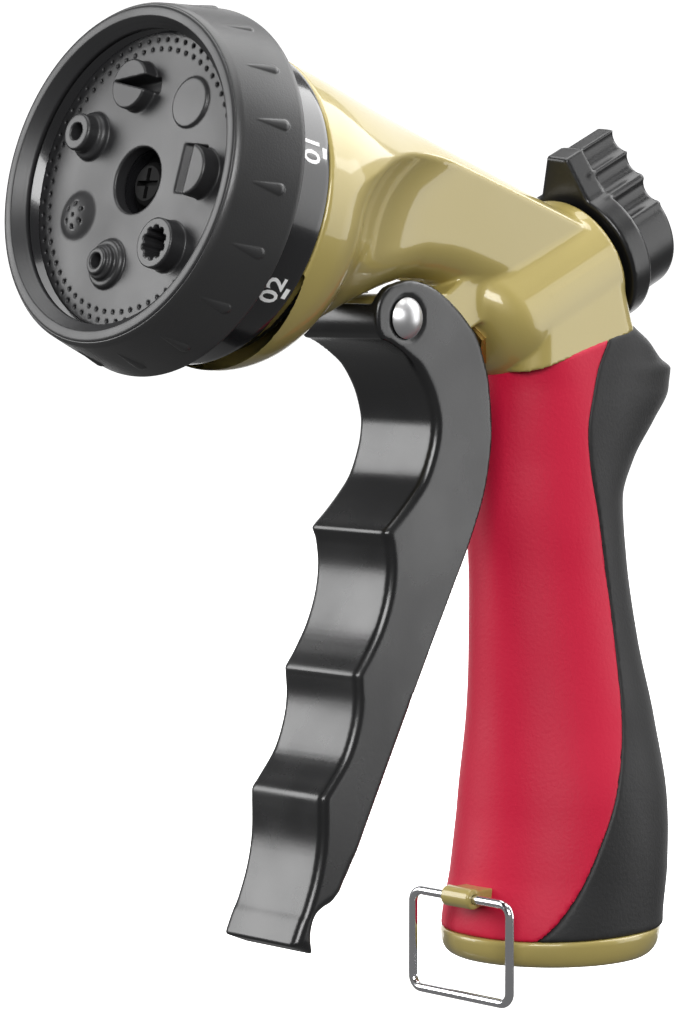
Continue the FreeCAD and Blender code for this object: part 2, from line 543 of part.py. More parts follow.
def flow_knob():
    """Round disc with a raised pear-shaped grip, three finger grooves along each side."""
    start, disc_end = D["knob_start"], D["knob_start"] + D["knob_disc"]
    grip_end = disc_end + D["knob_grip"]
    disc = cylinder("Dims.knob_radius", "Dims.knob_disc", ("0", "0", "Dims.knob_start"))
    rest = FreeCAD.Rotation(V(0, 0, 1), D["knob_rest_turn"])
    nose = [rest.multVec(V(x, y, 0)) for x, y in ((-8.6, -4.8), (-2.3, -20.4), (2.3, -20.4), (8.6, -4.8))]
    pear = [rest.multVec(V(x, y, 0)) for x, y in KNOB_PEAR]
    tip = feature(prism_of([(spot.x, spot.y) for spot in nose], start, disc_end))
    overlap = 0.5
    grip_start = disc_end - overlap
    grip = fuse(feature(prism_of([(spot.x, spot.y) for spot in pear], grip_start, grip_end)),
                feature(Part.makeCylinder(D["knob_bulb"], grip_end - grip_start, V(0, 0, grip_start))))
    grooves = []
    for x, y in KNOB_GROOVES:
        for side in (-1, 1):
            spot = rest.multVec(V(side * x, y, 0))
            grooves.append(Part.makeCylinder(D["groove_radius"], 2 * D["knob_grip"], V(spot.x, spot.y, disc_end)))
    grooved = cut(grip, feature(Part.makeCompound(grooves)))
    bore = cylinder("Dims.spindle_radius", 30.0 - start, ("0", "0", "Dims.knob_start"))
    screw_well = cylinder("3.4", "12", ("0", "0", "31.2"))
    screw_hole = cylinder("1.25", "4", ("0", "0", "29"))
    return finish(cut(fuse(disc, tip, grooved), bore, screw_well, screw_hole), "flow_knob", VALVE_FRAME)


def prism_of(corners, low, high):
    spots = [V(x, y, low) for x, y in corners]
    return Part.Face(Part.makePolygon(spots + spots[:1])).extrude(V(0, 0, high - low))


def clock(angle, radius, level=0.0):
    """Point on the head's face: angle from the top towards +X."""
    turn = math.radians(angle)
    return V(radius * math.sin(turn), radius * math.cos(turn), level)


def head_shells():
    """Turning ring with its ribs, and the cup behind it that carries the pattern numbers."""
    ring = revolved("GripRing", [
        ("Dims.rim_inner_radius", "0"), ("Dims.rim_radius - Dims.edge_round", "0"),
        ("Dims.rim_radius", "-Dims.edge_round"), ("Dims.ring_rear_radius", "-Dims.ring_depth + Dims.edge_round"),
        ("Dims.ring_rear_radius - Dims.edge_round", "-Dims.ring_depth"), ("Dims.cup_radius", "-Dims.ring_depth"),
        ("Dims.cup_radius", "-Dims.lip_depth"), ("Dims.rim_inner_radius", "-Dims.lip_depth")])
    flare = (D["ring_rear_radius"] - D["rim_radius"]) / D["ring_depth"]
    count = int(D["rib_count"])
    ribs = [rib_wedge(flare, 360.0 * i / count + 11.6) for i in range(count)]
    finish(fuse(ring, feature(Part.makeCompound(ribs))), "grip_ring", HEAD_FRAME)
    finish(revolved("DialCup", [
        ("Dims.cup_inner_radius", "-Dims.lip_depth"), ("Dims.cup_radius", "-Dims.lip_depth"),
        ("Dims.cup_radius", "-Dims.cup_depth + 0.3"), ("Dims.cup_radius - 0.3", "-Dims.cup_depth"),
        ("Dims.cup_inner_radius", "-Dims.cup_depth")]), "dial_cup", HEAD_FRAME)


def rib_wedge(flare, angle):
    """Raised wedge on the ring's flank, narrow in front and wider and taller behind."""
    front, back = D["rib_start"], D["rib_start"] + D["rib_length"]
    corners = []
    for level, half_width, rise in ((front, 0.35, 0.05), (back, 1.15, 0.75)):
        surface = D["rim_radius"] + flare * level
        foot = surface - 0.8
        corners.append([V(-half_width - 0.2, foot, -level), V(half_width + 0.2, foot, -level),
                        V(half_width, surface + rise, -level), V(-half_width, surface + rise, -level)])
    wedge = Part.makeLoft([Part.makePolygon(c + c[:1]) for c in corners], True, True)
    wedge.rotate(V(0, 0, 0), V(0, 0, 1), -angle)
    return wedge


def spray_face():
    """Face plate with seven outlets of different shapes and two rings of fine holes."""
    front = -D["face_depth"]
    back = front - D["face_thickness"]
    plate = revolved("SprayFace", [
        ("Dims.centre_hole_radius", f"{back}"), ("Dims.cup_inner_radius", f"{back}"),
        ("Dims.cup_inner_radius", f"{front}"), ("Dims.centre_hole_radius", f"{front}")])
    spot = {name: clock(*place, back) for name, place in OUTLETS.items()}
    radius, thick = D["outlet_radius"], D["face_thickness"]

    def boss(name, size, rise):
        return Part.makeCylinder(size, thick + rise, spot[name])

    adds = [boss("fan", radius, 2.2), boss("soaker", radius, 0.5), boss("flat", radius, 3.4),
            boss("shower", radius, 3.2), boss("cone", radius, 0.8), boss("cone", 2.9, 2.0), boss("cone", 2.2, 2.8),
            boss("jet", radius, 2.0), boss("jet", 3.2, 3.8)]
    dome_radius = 7.6
    dome_rise = 1.3
    dome = Part.makeSphere(dome_radius, spot["mist"] + V(0, 0, thick + dome_rise - dome_radius))
    adds.append(dome.common(Part.makeCylinder(radius, 6, spot["mist"] + V(0, 0, 0.5))))
    outward = {name: math.degrees(math.atan2(p.y, p.x)) for name, p in spot.items()}
    notch = prism_of([(-0.6, 0), (4.8, 2.6), (4.8, -2.6)], 0, 6)
    notch.rotate(V(0, 0, 0), V(0, 0, 1), outward["fan"] - 118)
    notch.translate(spot["fan"] + V(0, 0, 1.0))
    half = Part.makeBox(6, 12, 6, V(-6.0, -6, thick))
    half.translate(spot["flat"])
    slot = Part.makeBox(1.4, 8.2, 9, V(-1.4, -4.1, -1))
    slot.translate(spot["flat"])
    bores = [notch, half, slot, Part.makeCylinder(2.9, 20, spot["shower"] - V(0, 0, 5)),
             Part.makeCylinder(1.3, 20, spot["cone"] - V(0, 0, 5)), Part.makeCylinder(1.5, 20, spot["jet"] - V(0, 0, 5))]
    bores += [Part.makeCylinder(0.25, 12, spot["mist"] + clock(60 * i, 1.9, -4)) for i in range(6)]
    count = 64
    for ring_radius, shift in ((22.4, 0.0), (24.2, 0.5)):
        bores += [Part.makeCylinder(0.32, 6, clock(360.0 * (i + shift) / count, ring_radius, back - 1))
                  for i in range(count)]
    teeth = [tooth_of(spot["shower"], 36.0 * i, thick + 3.0) for i in range(10)]
    body = cut(fuse(plate, *[feature(a) for a in adds]), feature(Part.makeCompound(bores)))
    return finish(fuse(body, feature(Part.makeCompound(teeth))), "spray_face", HEAD_FRAME)


def tooth_of(spot, angle, height):
    """One small tooth on the inside of the ring outlet's wall."""
    tooth = Part.makeBox(0.9, 0.9, height, V(2.25, -0.45, 0))
    tooth.rotate(V(0, 0, 0), V(0, 0, 1), angle)
    tooth.translate(spot)
    return tooth


def head_water_parts():
    """Manifold behind the face, the plate that selects a passage, and the fixed port plate with its post."""
    passages = [cylinder("3.2", "30", (clock(*place).x, clock(*place).y, "-25")) for place in OUTLETS.values()]
    face_back = "(-Dims.face_depth - Dims.face_thickness)"
    running = "Dims.post_radius + Dims.running_gap"
    manifold = revolved("Manifold", [
        (running, "-17.5"), ("Dims.cup_inner_radius", "-17.5"), ("Dims.cup_inner_radius", f"{face_back} - 2.4"),
        ("25", f"{face_back} - 2.4"), ("25", f"{face_back} - 0.6"), ("21.4", f"{face_back} - 0.6"),
        ("21.4", face_back), ("Dims.centre_hole_radius", face_back), ("Dims.centre_hole_radius", "-10.2"),
        (running, "-10.2")])
    finish(cut(manifold, *passages), "manifold", HEAD_FRAME)
    plate = revolved("SelectorPlate", [(running, "-20.4"), ("Dims.cup_inner_radius", "-20.4"),
                                       ("Dims.cup_inner_radius", "-17.5"), (running, "-17.5")])
    ports = [cylinder("2.4", "10", (clock(*place).x, clock(*place).y, "-25")) for place in OUTLETS.values()]
    finish(cut(plate, *ports), "selector_plate", HEAD_FRAME)
    port_plate = revolved("PortPlate", [
        ("0", "-26.9"), ("24.8", "-26.9"), ("24.8", "-25.6"), ("23.8", "-25.6"), ("23.8", "-24.2"),
        ("24.8", "-24.2"), ("24.8", "-21"), ("Dims.post_radius", "-21"), ("Dims.post_radius", "-10"), ("0", "-10")])
    port = clock(0, 15.6)
    detent = clock(180, 20.0)
    finish(cut(port_plate, cylinder("2.4", "20", (port.x, port.y, "-30")), cylinder("4.0", "5", (port.x, port.y, "-23")),
               cylinder("1.3", "8", (detent.x, detent.y, "-25.4")), cylinder("1.6", "20", ("0", "0", "-24"))),
           "port_plate", HEAD_FRAME)
    seal = cut(cylinder("3.95", "2.3", (port.x, port.y, "-23")), cylinder("2.4", "9", (port.x, port.y, "-25")))
    finish(seal, "port_seal", HEAD_FRAME)
    finish(revolved("PlateSeal", [("23.8", "-25.5"), ("24.95", "-25.5"), ("24.95", "-24.3"), ("23.8", "-24.3")]),
           "plate_seal", HEAD_FRAME)
    ball = feature(Part.makeSphere(1.2, V(detent.x, detent.y, -21.9)), "DetentBall")
    finish(ball, "detent_ball", HEAD_FRAME)
    pitch, free_length, coil_radius, wire_radius = 0.62, 1.7, 0.85, 0.18
    foot = V(detent.x, detent.y, -25.2)
    helix = Part.makeHelix(pitch, free_length, coil_radius)
    helix.translate(foot)
    section = Part.Wire(Part.makeCircle(wire_radius, foot + V(coil_radius, 0, 0), V(0, 1, 0)))
    coil = Part.Wire(helix.Edges).makePipeShell([section], True, True)
    finish(feature(coil, "DetentSpring"), "detent_spring", HEAD_FRAME)
    finish(revolved("HeadWasher", [("1.6", "-10"), ("5.4", "-10"), ("5.4", "-9.3"), ("1.6", "-9.3")]),
           "head_washer", HEAD_FRAME)
    finish(cut(revolved("HeadScrew", [("0", "-22"), ("1.6", "-22"), ("1.6", "-9.3"), ("3.9", "-9.3"),
                                      ("3.7", "-7.6"), ("3.0", "-7.0"), ("0", "-7.0")]),
               feature(Part.makeBox(5.2, 0.9, 2, V(-2.6, -0.45, -8.2))),
               feature(Part.makeBox(0.9, 5.2, 2, V(-0.45, -2.6, -8.2)))), "head_screw", HEAD_FRAME)


def check_and_export():
    doc.recompute()
    for obj in doc.Objects:
        if "Invalid" in obj.State or "Error" in obj.State:
            raise RuntimeError(f"{obj.Label} failed: {obj.State}")
    os.makedirs("parts", exist_ok=True)
    for obj in nodes:
        shape = obj.Shape
        if shape.isNull() or not shape.isValid() or not shape.Solids:
            raise RuntimeError(f"{obj.Label} has no valid solid")
        shape.exportStep(f"parts/{obj.Label}.step")
        print(f"{obj.Label}: {len(shape.Solids)} solid(s), {shape.Volume:.1f} mm3")


make_sheet()
body_casting()
hose_connector()
hose_washer()
filter_screen()
doc.recompute()
grips()
ring_bracket()
lock_ring()
trigger()
pivot_pin()
valve_parts()
return_spring()
flow_parts()
head_shells()
spray_face()
head_water_parts()
check_and_export()
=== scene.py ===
import itertools
import json
import math

import bpy
import numpy as np
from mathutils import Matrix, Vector


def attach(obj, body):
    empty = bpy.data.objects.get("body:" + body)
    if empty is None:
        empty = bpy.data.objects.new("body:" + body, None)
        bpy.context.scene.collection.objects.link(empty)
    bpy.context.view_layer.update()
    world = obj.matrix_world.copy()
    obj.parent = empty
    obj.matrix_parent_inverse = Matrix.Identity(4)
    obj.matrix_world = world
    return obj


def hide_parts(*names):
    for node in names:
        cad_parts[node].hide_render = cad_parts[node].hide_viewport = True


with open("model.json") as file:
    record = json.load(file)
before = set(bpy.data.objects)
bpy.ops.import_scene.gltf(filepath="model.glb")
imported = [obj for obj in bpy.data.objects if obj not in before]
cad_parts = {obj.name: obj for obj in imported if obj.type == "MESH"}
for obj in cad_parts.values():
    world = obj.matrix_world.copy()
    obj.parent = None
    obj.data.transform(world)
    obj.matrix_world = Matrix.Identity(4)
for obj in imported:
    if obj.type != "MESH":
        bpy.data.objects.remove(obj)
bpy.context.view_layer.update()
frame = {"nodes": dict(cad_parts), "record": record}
NODES = frame["nodes"]
MM = 0.001
FULL_TURN = 2 * math.pi
FAR, TINY = 1e9, 1e-9

# ---------------------------------------------------------------- frames of the head and the valve line, mm
HEAD_AT, HEAD_PITCH = (-103.55, 142.64), math.radians(13.88)
VALVE_AT, VALVE_PITCH = (-10.9, 119.8), math.radians(24.3)
PIVOT = (-46.5, 118.0)


def in_head(y, z):
    """Distance behind the rim and height above the head's axis."""
    dy, dz = y - HEAD_AT[0], z - HEAD_AT[1]
    c, s = math.cos(HEAD_PITCH), math.sin(HEAD_PITCH)
    return dy * c - dz * s, dy * s + dz * c


def from_head(x, back, up):
    c, s = math.cos(HEAD_PITCH), math.sin(HEAD_PITCH)
    return x, HEAD_AT[0] + back * c + up * s, HEAD_AT[1] - back * s + up * c


def in_valve(y, z):
    """Distance along the valve line towards the knob, and height above it."""
    dy, dz = y - VALVE_AT[0], z - VALVE_AT[1]
    c, s = math.cos(VALVE_PITCH), math.sin(VALVE_PITCH)
    return dy * c + dz * s, -dy * s + dz * c


def from_valve(x, along, up):
    c, s = math.cos(VALVE_PITCH), math.sin(VALVE_PITCH)
    return x, VALVE_AT[0] + along * c - up * s, VALVE_AT[1] + along * s + up * c


# ---------------------------------------------------------------- distance fields
def soft_union(a, b, r):
    """Union whose inner corner is filled over a width of about r."""
    h = np.clip(0.5 + 0.5 * (b - a) / r, 0, 1)
    return b * (1 - h) + a * h - r * h * (1 - h)


def round_common(a, b, r):
    """Intersection whose edge is a round of radius r."""
    return np.minimum(-r, np.maximum(a, b)) + np.hypot(np.maximum(a + r, 0), np.maximum(b + r, 0))


def round_cut(a, b, r):
    return round_common(a, -b, r)


def rod(u, v, radius):
    return np.hypot(u, v) - radius


def turned_by(degrees, u, v):
    """Coordinates along axes turned by an angle."""
    c, s = math.cos(math.radians(degrees)), math.sin(math.radians(degrees))
    return u * c + v * s, v * c - u * s


def slab(t, low, high):
    return np.maximum(low - t, t - high)


def smooth_step(t):
    t = np.clip(t, 0, 1)
    return t * t * (3 - 2 * t)


def polygon(u, v, corners):
    """Signed distance to a closed polygon, negative inside."""
    corners = np.asarray(corners, float)
    best = np.full(np.shape(u), FAR)
    sign = np.ones(np.shape(u))
    for a, b in zip(corners, np.roll(corners, -1, 0)):
        e = b - a
        wu, wv = u - a[0], v - a[1]
        t = np.clip((wu * e[0] + wv * e[1]) / (e @ e), 0, 1)
        best = np.minimum(best, (wu - e[0] * t) ** 2 + (wv - e[1] * t) ** 2)
        over = (v >= a[1]) != (v >= b[1])
        side = e[0] * wv - e[1] * wu
        flip = over & ((side > 0) == (e[1] > 0)) if e[1] else np.zeros_like(over)
        sign = np.where(flip, -sign, sign)
    return sign * np.sqrt(best)


def curve_through(points, share=8):
    """Smooth polyline through the points, with share steps from each to the next."""
    p = np.asarray(points, float)
    p = np.vstack([2 * p[0] - p[1], p, 2 * p[-1] - p[-2]])
    out = []
    for i in range(1, len(p) - 2):
        a, b, c, d = p[i - 1:i + 3]
        for t in np.arange(share) / share:
            out.append(0.5 * (2 * b + (c - a) * t + (2 * a - 5 * b + 4 * c - d) * t * t
                              + (3 * b - a - 3 * c + d) * t ** 3))
    out.append(p[-2])
    return np.array(out)


# ---------------------------------------------------------------- meshing a field
CORNERS = list(itertools.product((0, 1), repeat=3))
EDGES = [(a, b) for a in CORNERS for b in CORNERS
         if sum(b) == sum(a) + 1 and sum(abs(i - j) for i, j in zip(a, b)) == 1]
BLOCK, FAR_VALUE = 16, 1e3
HALF_DIAGONAL, FIELD_STRETCH, BLOCK_SPARE = 0.87, 1.35, 1.0
SETTLE_ROUNDS, PROBE, LEAST_SLOPE = 4, 0.02, 0.05


def sampled(field, axes):
    """Field values on a grid. Blocks far from the surface get only their sign."""
    step = axes[0][1] - axes[0][0]
    shape = [len(a) for a in axes]
    values = np.empty(shape, np.float32)
    starts = [range(0, n, BLOCK) for n in shape]
    middles = [np.array([a[s:s + BLOCK].mean() for s in st]) for a, st in zip(axes, starts)]
    rough = field(*[m.ravel() for m in np.meshgrid(*middles, indexing="ij")])
    reach = step * BLOCK * HALF_DIAGONAL * FIELD_STRETCH + BLOCK_SPARE
    for corner, d in zip(itertools.product(*starts), rough):
        part = tuple(slice(s, s + BLOCK) for s in corner)
        if abs(d) > reach:
            values[part] = math.copysign(FAR_VALUE, d)
            continue
        grid = np.meshgrid(*[a[p] for a, p in zip(axes, part)], indexing="ij")
        values[part] = field(*grid)
    return values


def settle(field, points, limit):
    """Moves points onto the zero surface along the field's slope."""
    start = points.copy()
    h = PROBE
    for _ in range(SETTLE_ROUNDS):
        x, y, z = points.T
        d = field(x, y, z)
        slope = np.stack([field(x + h, y, z) - field(x - h, y, z),
                          field(x, y + h, z) - field(x, y - h, z),
                          field(x, y, z + h) - field(x, y, z - h)], 1) / (2 * h)
        points = points - (d / np.maximum((slope ** 2).sum(1), LEAST_SLOPE))[:, None] * slope
        points = start + np.clip(points - start, -limit, limit)
    return points


def net_of(field, low, high, step):
    """Vertices and quads of the surface where the field is zero."""
    axes = [np.arange(a, b + step, step) for a, b in zip(low, high)]
    values = sampled(field, axes)
    inside = values < 0
    nx, ny, nz = (n - 1 for n in inside.shape)
    count = sum(inside[i:nx + i, j:ny + j, k:nz + k].astype(np.int8) for i, j, k in CORNERS)
    active = (count > 0) & (count < len(CORNERS))
    cells = np.argwhere(active)
    index = np.full(active.shape, -1, np.int64)
    index[active] = np.arange(len(cells))
    total, hits = np.zeros((len(cells), 3)), np.zeros(len(cells))
    for a, b in EDGES:
        va, vb = (values[tuple((cells + c).T)].astype(float) for c in (a, b))
        cross = (va < 0) != (vb < 0)
        t = np.where(cross, va / np.where(va == vb, 1, va - vb), 0)
        spot = cells + np.array(a) + t[:, None] * (np.array(b) - np.array(a))
        total[cross] += spot[cross]
        hits += cross
    points = total / hits[:, None] * step + np.array([a[0] for a in axes])
    quads = []
    for axis in range(3):
        u, v = (axis + 1) % 3, (axis + 2) % 3
        first = np.take(inside, range(inside.shape[axis] - 1), axis)
        second = np.take(inside, range(1, inside.shape[axis]), axis)
        spots = np.argwhere(first != second)
        spots = spots[(spots[:, u] > 0) & (spots[:, v] > 0)
                      & (spots[:, u] < active.shape[u]) & (spots[:, v] < active.shape[v])]
        du, dv = np.eye(3, dtype=int)[u], np.eye(3, dtype=int)[v]
        ring = np.stack([index[tuple((spots - s).T)] for s in (0 * du, du, du + dv, dv)], 1)
        out = first[tuple(spots.T)]
        ring[~out] = ring[~out][:, ::-1]
        quads.append(ring)
    return settle(field, points, step), np.vstack(quads)


def linked(name, mesh):
    made = bpy.data.objects.new(name, mesh)
    bpy.context.scene.collection.objects.link(made)
    return made


def mesh_object(name, points, faces):
    """Smooth object from points in mm and faces that all have the same number of corners."""
    faces = np.asarray(faces)
    mesh = bpy.data.meshes.new(name)
    mesh.vertices.add(len(points))
    mesh.vertices.foreach_set("co", (np.asarray(points, float) * MM).ravel())
    mesh.loops.add(faces.size)
    mesh.loops.foreach_set("vertex_index", faces.ravel().astype(np.int32))
    mesh.polygons.add(len(faces))
    mesh.polygons.foreach_set("loop_start", np.arange(0, faces.size, faces.shape[1], dtype=np.int32))
    mesh.update(calc_edges=True)
    mesh.validate()
    mesh.shade_smooth()
    return linked(name, mesh)


def carved(name, field, low, high, step, to_world=None):
    """Object from a field inside the box from low to high; to_world leaves the field's own frame."""
    points, quads = net_of(field, low, high, step)
    if to_world:
        points = np.stack(to_world(*points.T), 1)
    return mesh_object(name, points, quads)


def closed_both_ways(rows, columns):
    """Faces of a skin of rows and columns of points that meets itself both ways."""
    i, j = np.meshgrid(range(rows), range(columns), indexing="ij")
    i2, j2 = (i + 1) % rows, (j + 1) % columns
    return np.stack([(a * columns + b).ravel() for a, b in ((i, j), (i, j2), (i2, j2), (i2, j))], 1)


def turned(name, profile, segments, to_world, bump=None):
    """Closed ring, turned from (radius, level) pairs; bump adds to the radius."""
    profile = np.asarray(profile, float)
    angles = np.arange(segments) * FULL_TURN / segments
    radius = np.repeat(profile[:, :1], segments, 1)
    level = np.repeat(profile[:, 1:], segments, 1)
    if bump:
        radius = radius + bump(angles[None, :] + 0 * radius, level, radius)
    x, v = radius * np.sin(angles), radius * np.cos(angles)
    points = np.stack([np.asarray(a).ravel() for a in to_world(x, level, v)], 1)
    return mesh_object(name, points, closed_both_ways(len(profile), segments))


# ---------------------------------------------------------------- body casting
# Each ..._SCALE makes the field of a sloping side a true distance.
BARREL_RADIUS, LIP_BACK, LIP_ROUND = 27.3, 22.95, 0.5
ROOF_START, ROOF_FALL = 22.97, 0.108
WAIST_START, WAIST_LENGTH, WAIST_DEPTH, WAIST_BLEND, REAR_TAPER = 27, 32, 6.3, 8, 0.06
HOOD_BACK, HOOD_BOW, HOOD_SLOPE, HOOD_SCALE, HOOD_BLEND = 30.9, 0.052, 0.98, 0.68, 9.0
PANEL_HALF, PANEL_PER_Y, PANEL_PER_Z, PANEL_SCALE = -8.3, -0.0415, 0.134, 0.985
WEB_Y = [-62, -51, -42.7, -36.6, -31.7, -24, -14]
WEB_FLOOR = [122.0, 123.7, 125.0, 124.6, 123.7, 121.5, 118.0]
WEB_ROUND, WEB_END = 6.5, 16.5
CREASE_ROUND, ROOF_ROUND = 2.6, 0.55
BOSS_RADIUS, BOSS_END, NOSE_ROUND, MOUTH_ROUND = 12.9, 17.8, 7.0, 0.7
NOSE_AT, NOSE_FACING = (-20.6, 110), (-0.805, -0.594)
NECK_HALF, NECK_FRONT, NECK_END, NECK_TOP = 12.6, -17.6, 17.9, 2.77
NECK_Z = [104, 108, 110, 112.8, 116.7, 120, 124]
NECK_REAR = [19.5, 17.0, 14.8, 12.3, 10.6, 9.6, 8.6]
NECK_FRONT_SCALE, NECK_REAR_SCALE = 0.99, 0.9
NECK_FRONT_ROUND, NECK_REAR_ROUND = 5.0, 4.2
SEAM_HEIGHT, SEAM_SLOPE = 112.5, 0.27
LUG_HALF, LUG_RADIUS, ARM_ROUND, LUG_ROUND = 7.8, 4.2, 0.6, 0.4
BOSS_BLEND, BARREL_BLEND, LUG_BLEND = 0.2, 0.9, 1.2
CHAMBER = (9.5, 0.5, 19.0)
PORT = (7.0, -8, 2)
STEM_BORE = (3.2, -60, 0)
CUP_BORE = (25, 0, 26)
PIN_BORE = 2.4
LUG_ARM = [(-46.5, 122.2), (-34.5, 122.2), (-31.0, 124.5), (-20.0, 126.0), (-20.0, 118.5),
           (-25.5, 117.1), (-30.0, 115.0), (-34.0, 113.7), (-38.0, 113.6), (-41.0, 116.4),
           (-43.6, 115.0)]


def from_pivot(y, z, radius):
    return rod(y - PIVOT[0], z - PIVOT[1], radius)


def bore(x, up, along, measures):
    """Round hole from its radius and the levels of its two ends."""
    radius, low, high = measures
    return np.maximum(rod(x, up, radius), slab(along, low, high))


def roof_shell(x, back, up):
    """Upper skin of the barrel: an ellipse that narrows from the lip to the rear."""
    top = BARREL_RADIUS - ROOF_FALL * np.maximum(back - ROOF_START, 0)
    narrowing = (WAIST_DEPTH * smooth_step((back - WAIST_START) / WAIST_LENGTH)
                 + REAR_TAPER * np.maximum(back - WAIST_START - WAIST_LENGTH, 0))
    across = BARREL_RADIUS - narrowing * smooth_step((up + WAIST_BLEND) / WAIST_BLEND)
    tall = np.where(up > 0, top, BARREL_RADIUS)
    q = np.sqrt((x / across) ** 2 + (up / tall) ** 2) + TINY
    slope = np.sqrt((x / across ** 2) ** 2 + (up / tall ** 2) ** 2) / q + TINY
    return (q - 1) / slope


def casting_field(x, y, z):
    ax = np.abs(x)
    back, up = in_head(y, z)
    along, high = in_valve(y, z)
    r = np.hypot(x, up)
    rim_back = HOOD_BACK + HOOD_BOW * np.maximum(up, 0) ** 2
    cone = (r - BARREL_RADIUS + HOOD_SLOPE * (back - rim_back)) * HOOD_SCALE
    side = (ax - (PANEL_HALF + PANEL_PER_Y * y + PANEL_PER_Z * z)) * PANEL_SCALE
    floor = np.interp(y, WEB_Y, WEB_FLOOR)
    web = np.maximum(round_common(side, floor - z, WEB_ROUND), along - WEB_END)
    flank = soft_union(cone, web, HOOD_BLEND)
    roof = roof_shell(x, back, up)
    barrel = np.maximum(round_common(rod(x, up, BARREL_RADIUS), flank, CREASE_ROUND),
                        round_common(roof, flank, ROOF_ROUND))
    barrel = round_common(barrel, LIP_BACK - back, LIP_ROUND)

    nose = NOSE_FACING[0] * (y - NOSE_AT[0]) + NOSE_FACING[1] * (z - NOSE_AT[1])
    boss = round_common(rod(x, high, BOSS_RADIUS), nose, NOSE_ROUND)
    boss = round_common(boss, along - BOSS_END, MOUTH_ROUND)

    box_side = ax - NECK_HALF
    box_front = (NECK_FRONT - y) * NECK_FRONT_SCALE
    box_rear = (y - np.interp(z, NECK_Z, NECK_REAR)) * NECK_REAR_SCALE
    neck = round_common(round_common(box_side, box_rear, NECK_REAR_ROUND), box_front, NECK_FRONT_ROUND)
    neck = np.maximum(neck, high - NECK_TOP)
    neck = round_common(neck, along - NECK_END, MOUTH_ROUND)
    neck = np.maximum(neck, SEAM_HEIGHT + SEAM_SLOPE * y - z)

    arm = round_common(polygon(y, z, LUG_ARM), ax - LUG_HALF, ARM_ROUND)
    lug = round_common(from_pivot(y, z, LUG_RADIUS), ax - LUG_HALF, LUG_ROUND)
    body = soft_union(boss, neck, BOSS_BLEND)
    body = soft_union(barrel, body, BARREL_BLEND)
    body = soft_union(body, np.minimum(arm, lug), LUG_BLEND)
    hollows = [bore(x, high, along, measures) for measures in (CHAMBER, PORT, STEM_BORE)]
    hollows += [bore(x, up, back, CUP_BORE), from_pivot(y, z, PIN_BORE)]
    for hollow in hollows:
        body = np.maximum(body, -hollow)
    return body


casting = carved("casting", casting_field, (-28, -84, 105), (28, 17, 169), 0.45)


# ---------------------------------------------------------------- grips
# height, middle, half width, depth to the front, depth to the rear
STATIONS = np.array([ (-2.0, 0.8, 19.0, 20.9, 20.9), (4.9, 0.8, 19.0, 20.9, 20.9),
                     (16.0, 2.6, 19.0, 21.2, 21.2), (28.0, 3.4, 18.4, 20.6, 20.6),
                     (43.0, 2.7, 16.1, 18.9, 18.9), (58.0, 0.8, 14.2, 17.0, 17.0),
                     (73.0, -0.8, 13.1, 16.0, 16.0), (84.0, -2.0, 12.9, 15.8, 16.4),
                     (91.0, -2.2, 12.9, 15.7, 20.2), (98.0, -2.4, 12.9, 15.6, 26.2),
                     (104.0, -2.4, 12.9, 15.5, 30.0), (107.5, -2.4, 12.9, 15.4, 29.6),
                     (109.6, -2.4, 12.9, 15.4, 25.6), (112.7, -2.4, 12.9, 15.3, 21.2),
                     (117.0, -2.4, 12.9, 15.2, 14.2), (124.0, -2.4, 12.9, 15.2, 12.0)])
# (y, z) of the line between the red and the charcoal grip, from the top down
SPLIT = np.array([(5.2, 130.0), (3.4, 118.0), (2.5, 115.5), (1.4, 112.5), (-0.8, 108.4), (-2.4, 102.6),
                  (-3.4, 97.2), (-2.7, 89.9), (-0.5, 80.7), (1.0, 71.5), (2.2, 62.4), (2.8, 51.4),
                  (2.6, 44.2), (1.3, 37.1), (-1.6, 28.3), (-4.8, 21.3), (-8.4, 14.3), (-12.2, 9.0),
                  (-15.7, 4.9), (-22.0, -3.0)])
SPLIT_LINE = curve_through(SPLIT, 6)[::-1]
# The section is a superellipse of power 2 and more: how much more, from which height, over what height
SQUARER = [(0.5, 90, 22), (1.3, 104, 14), (0.25, 20, -20)]
LEAST_Q, HANDLE_SCALE = 0.3, 0.93
GRIP_FOOT, GRIP_TOP, SEAM_SCALE, GRIP_SKIN, CORE_TOP = 4.95, 113.1, 0.965, 3.1, 140
SPLIT_GAP, SPLIT_ROUND, TOP_ROUND, FOOT_ROUND = 0.02, 0.45, 0.6, 0.5
KNOB_ROOM, KNOB_ROOM_ROUND = (14.3, 18.4, 40), 0.5


def monotone(z, table, column):
    """Cubic through the stations that never overshoots them."""
    zs, vs = table[:, 0], table[:, column]
    h = np.diff(zs)
    d = np.diff(vs) / h
    m = np.zeros(len(zs))
    same = d[:-1] * d[1:] > 0
    w1, w2 = 2 * h[1:] + h[:-1], h[1:] + 2 * h[:-1]
    before, after = np.where(same, d[:-1], 1), np.where(same, d[1:], 1)
    m[1:-1] = np.where(same, (w1 + w2) / (w1 / before + w2 / after), 0)
    m[0], m[-1] = d[0], d[-1]
    i = np.clip(np.searchsorted(zs, z) - 1, 0, len(h) - 1)
    t = (z - zs[i]) / h[i]
    return (vs[i] * (1 + 2 * t) * (1 - t) ** 2 + h[i] * m[i] * t * (1 - t) ** 2
            + vs[i + 1] * t * t * (3 - 2 * t) + h[i] * m[i + 1] * t * t * (t - 1))


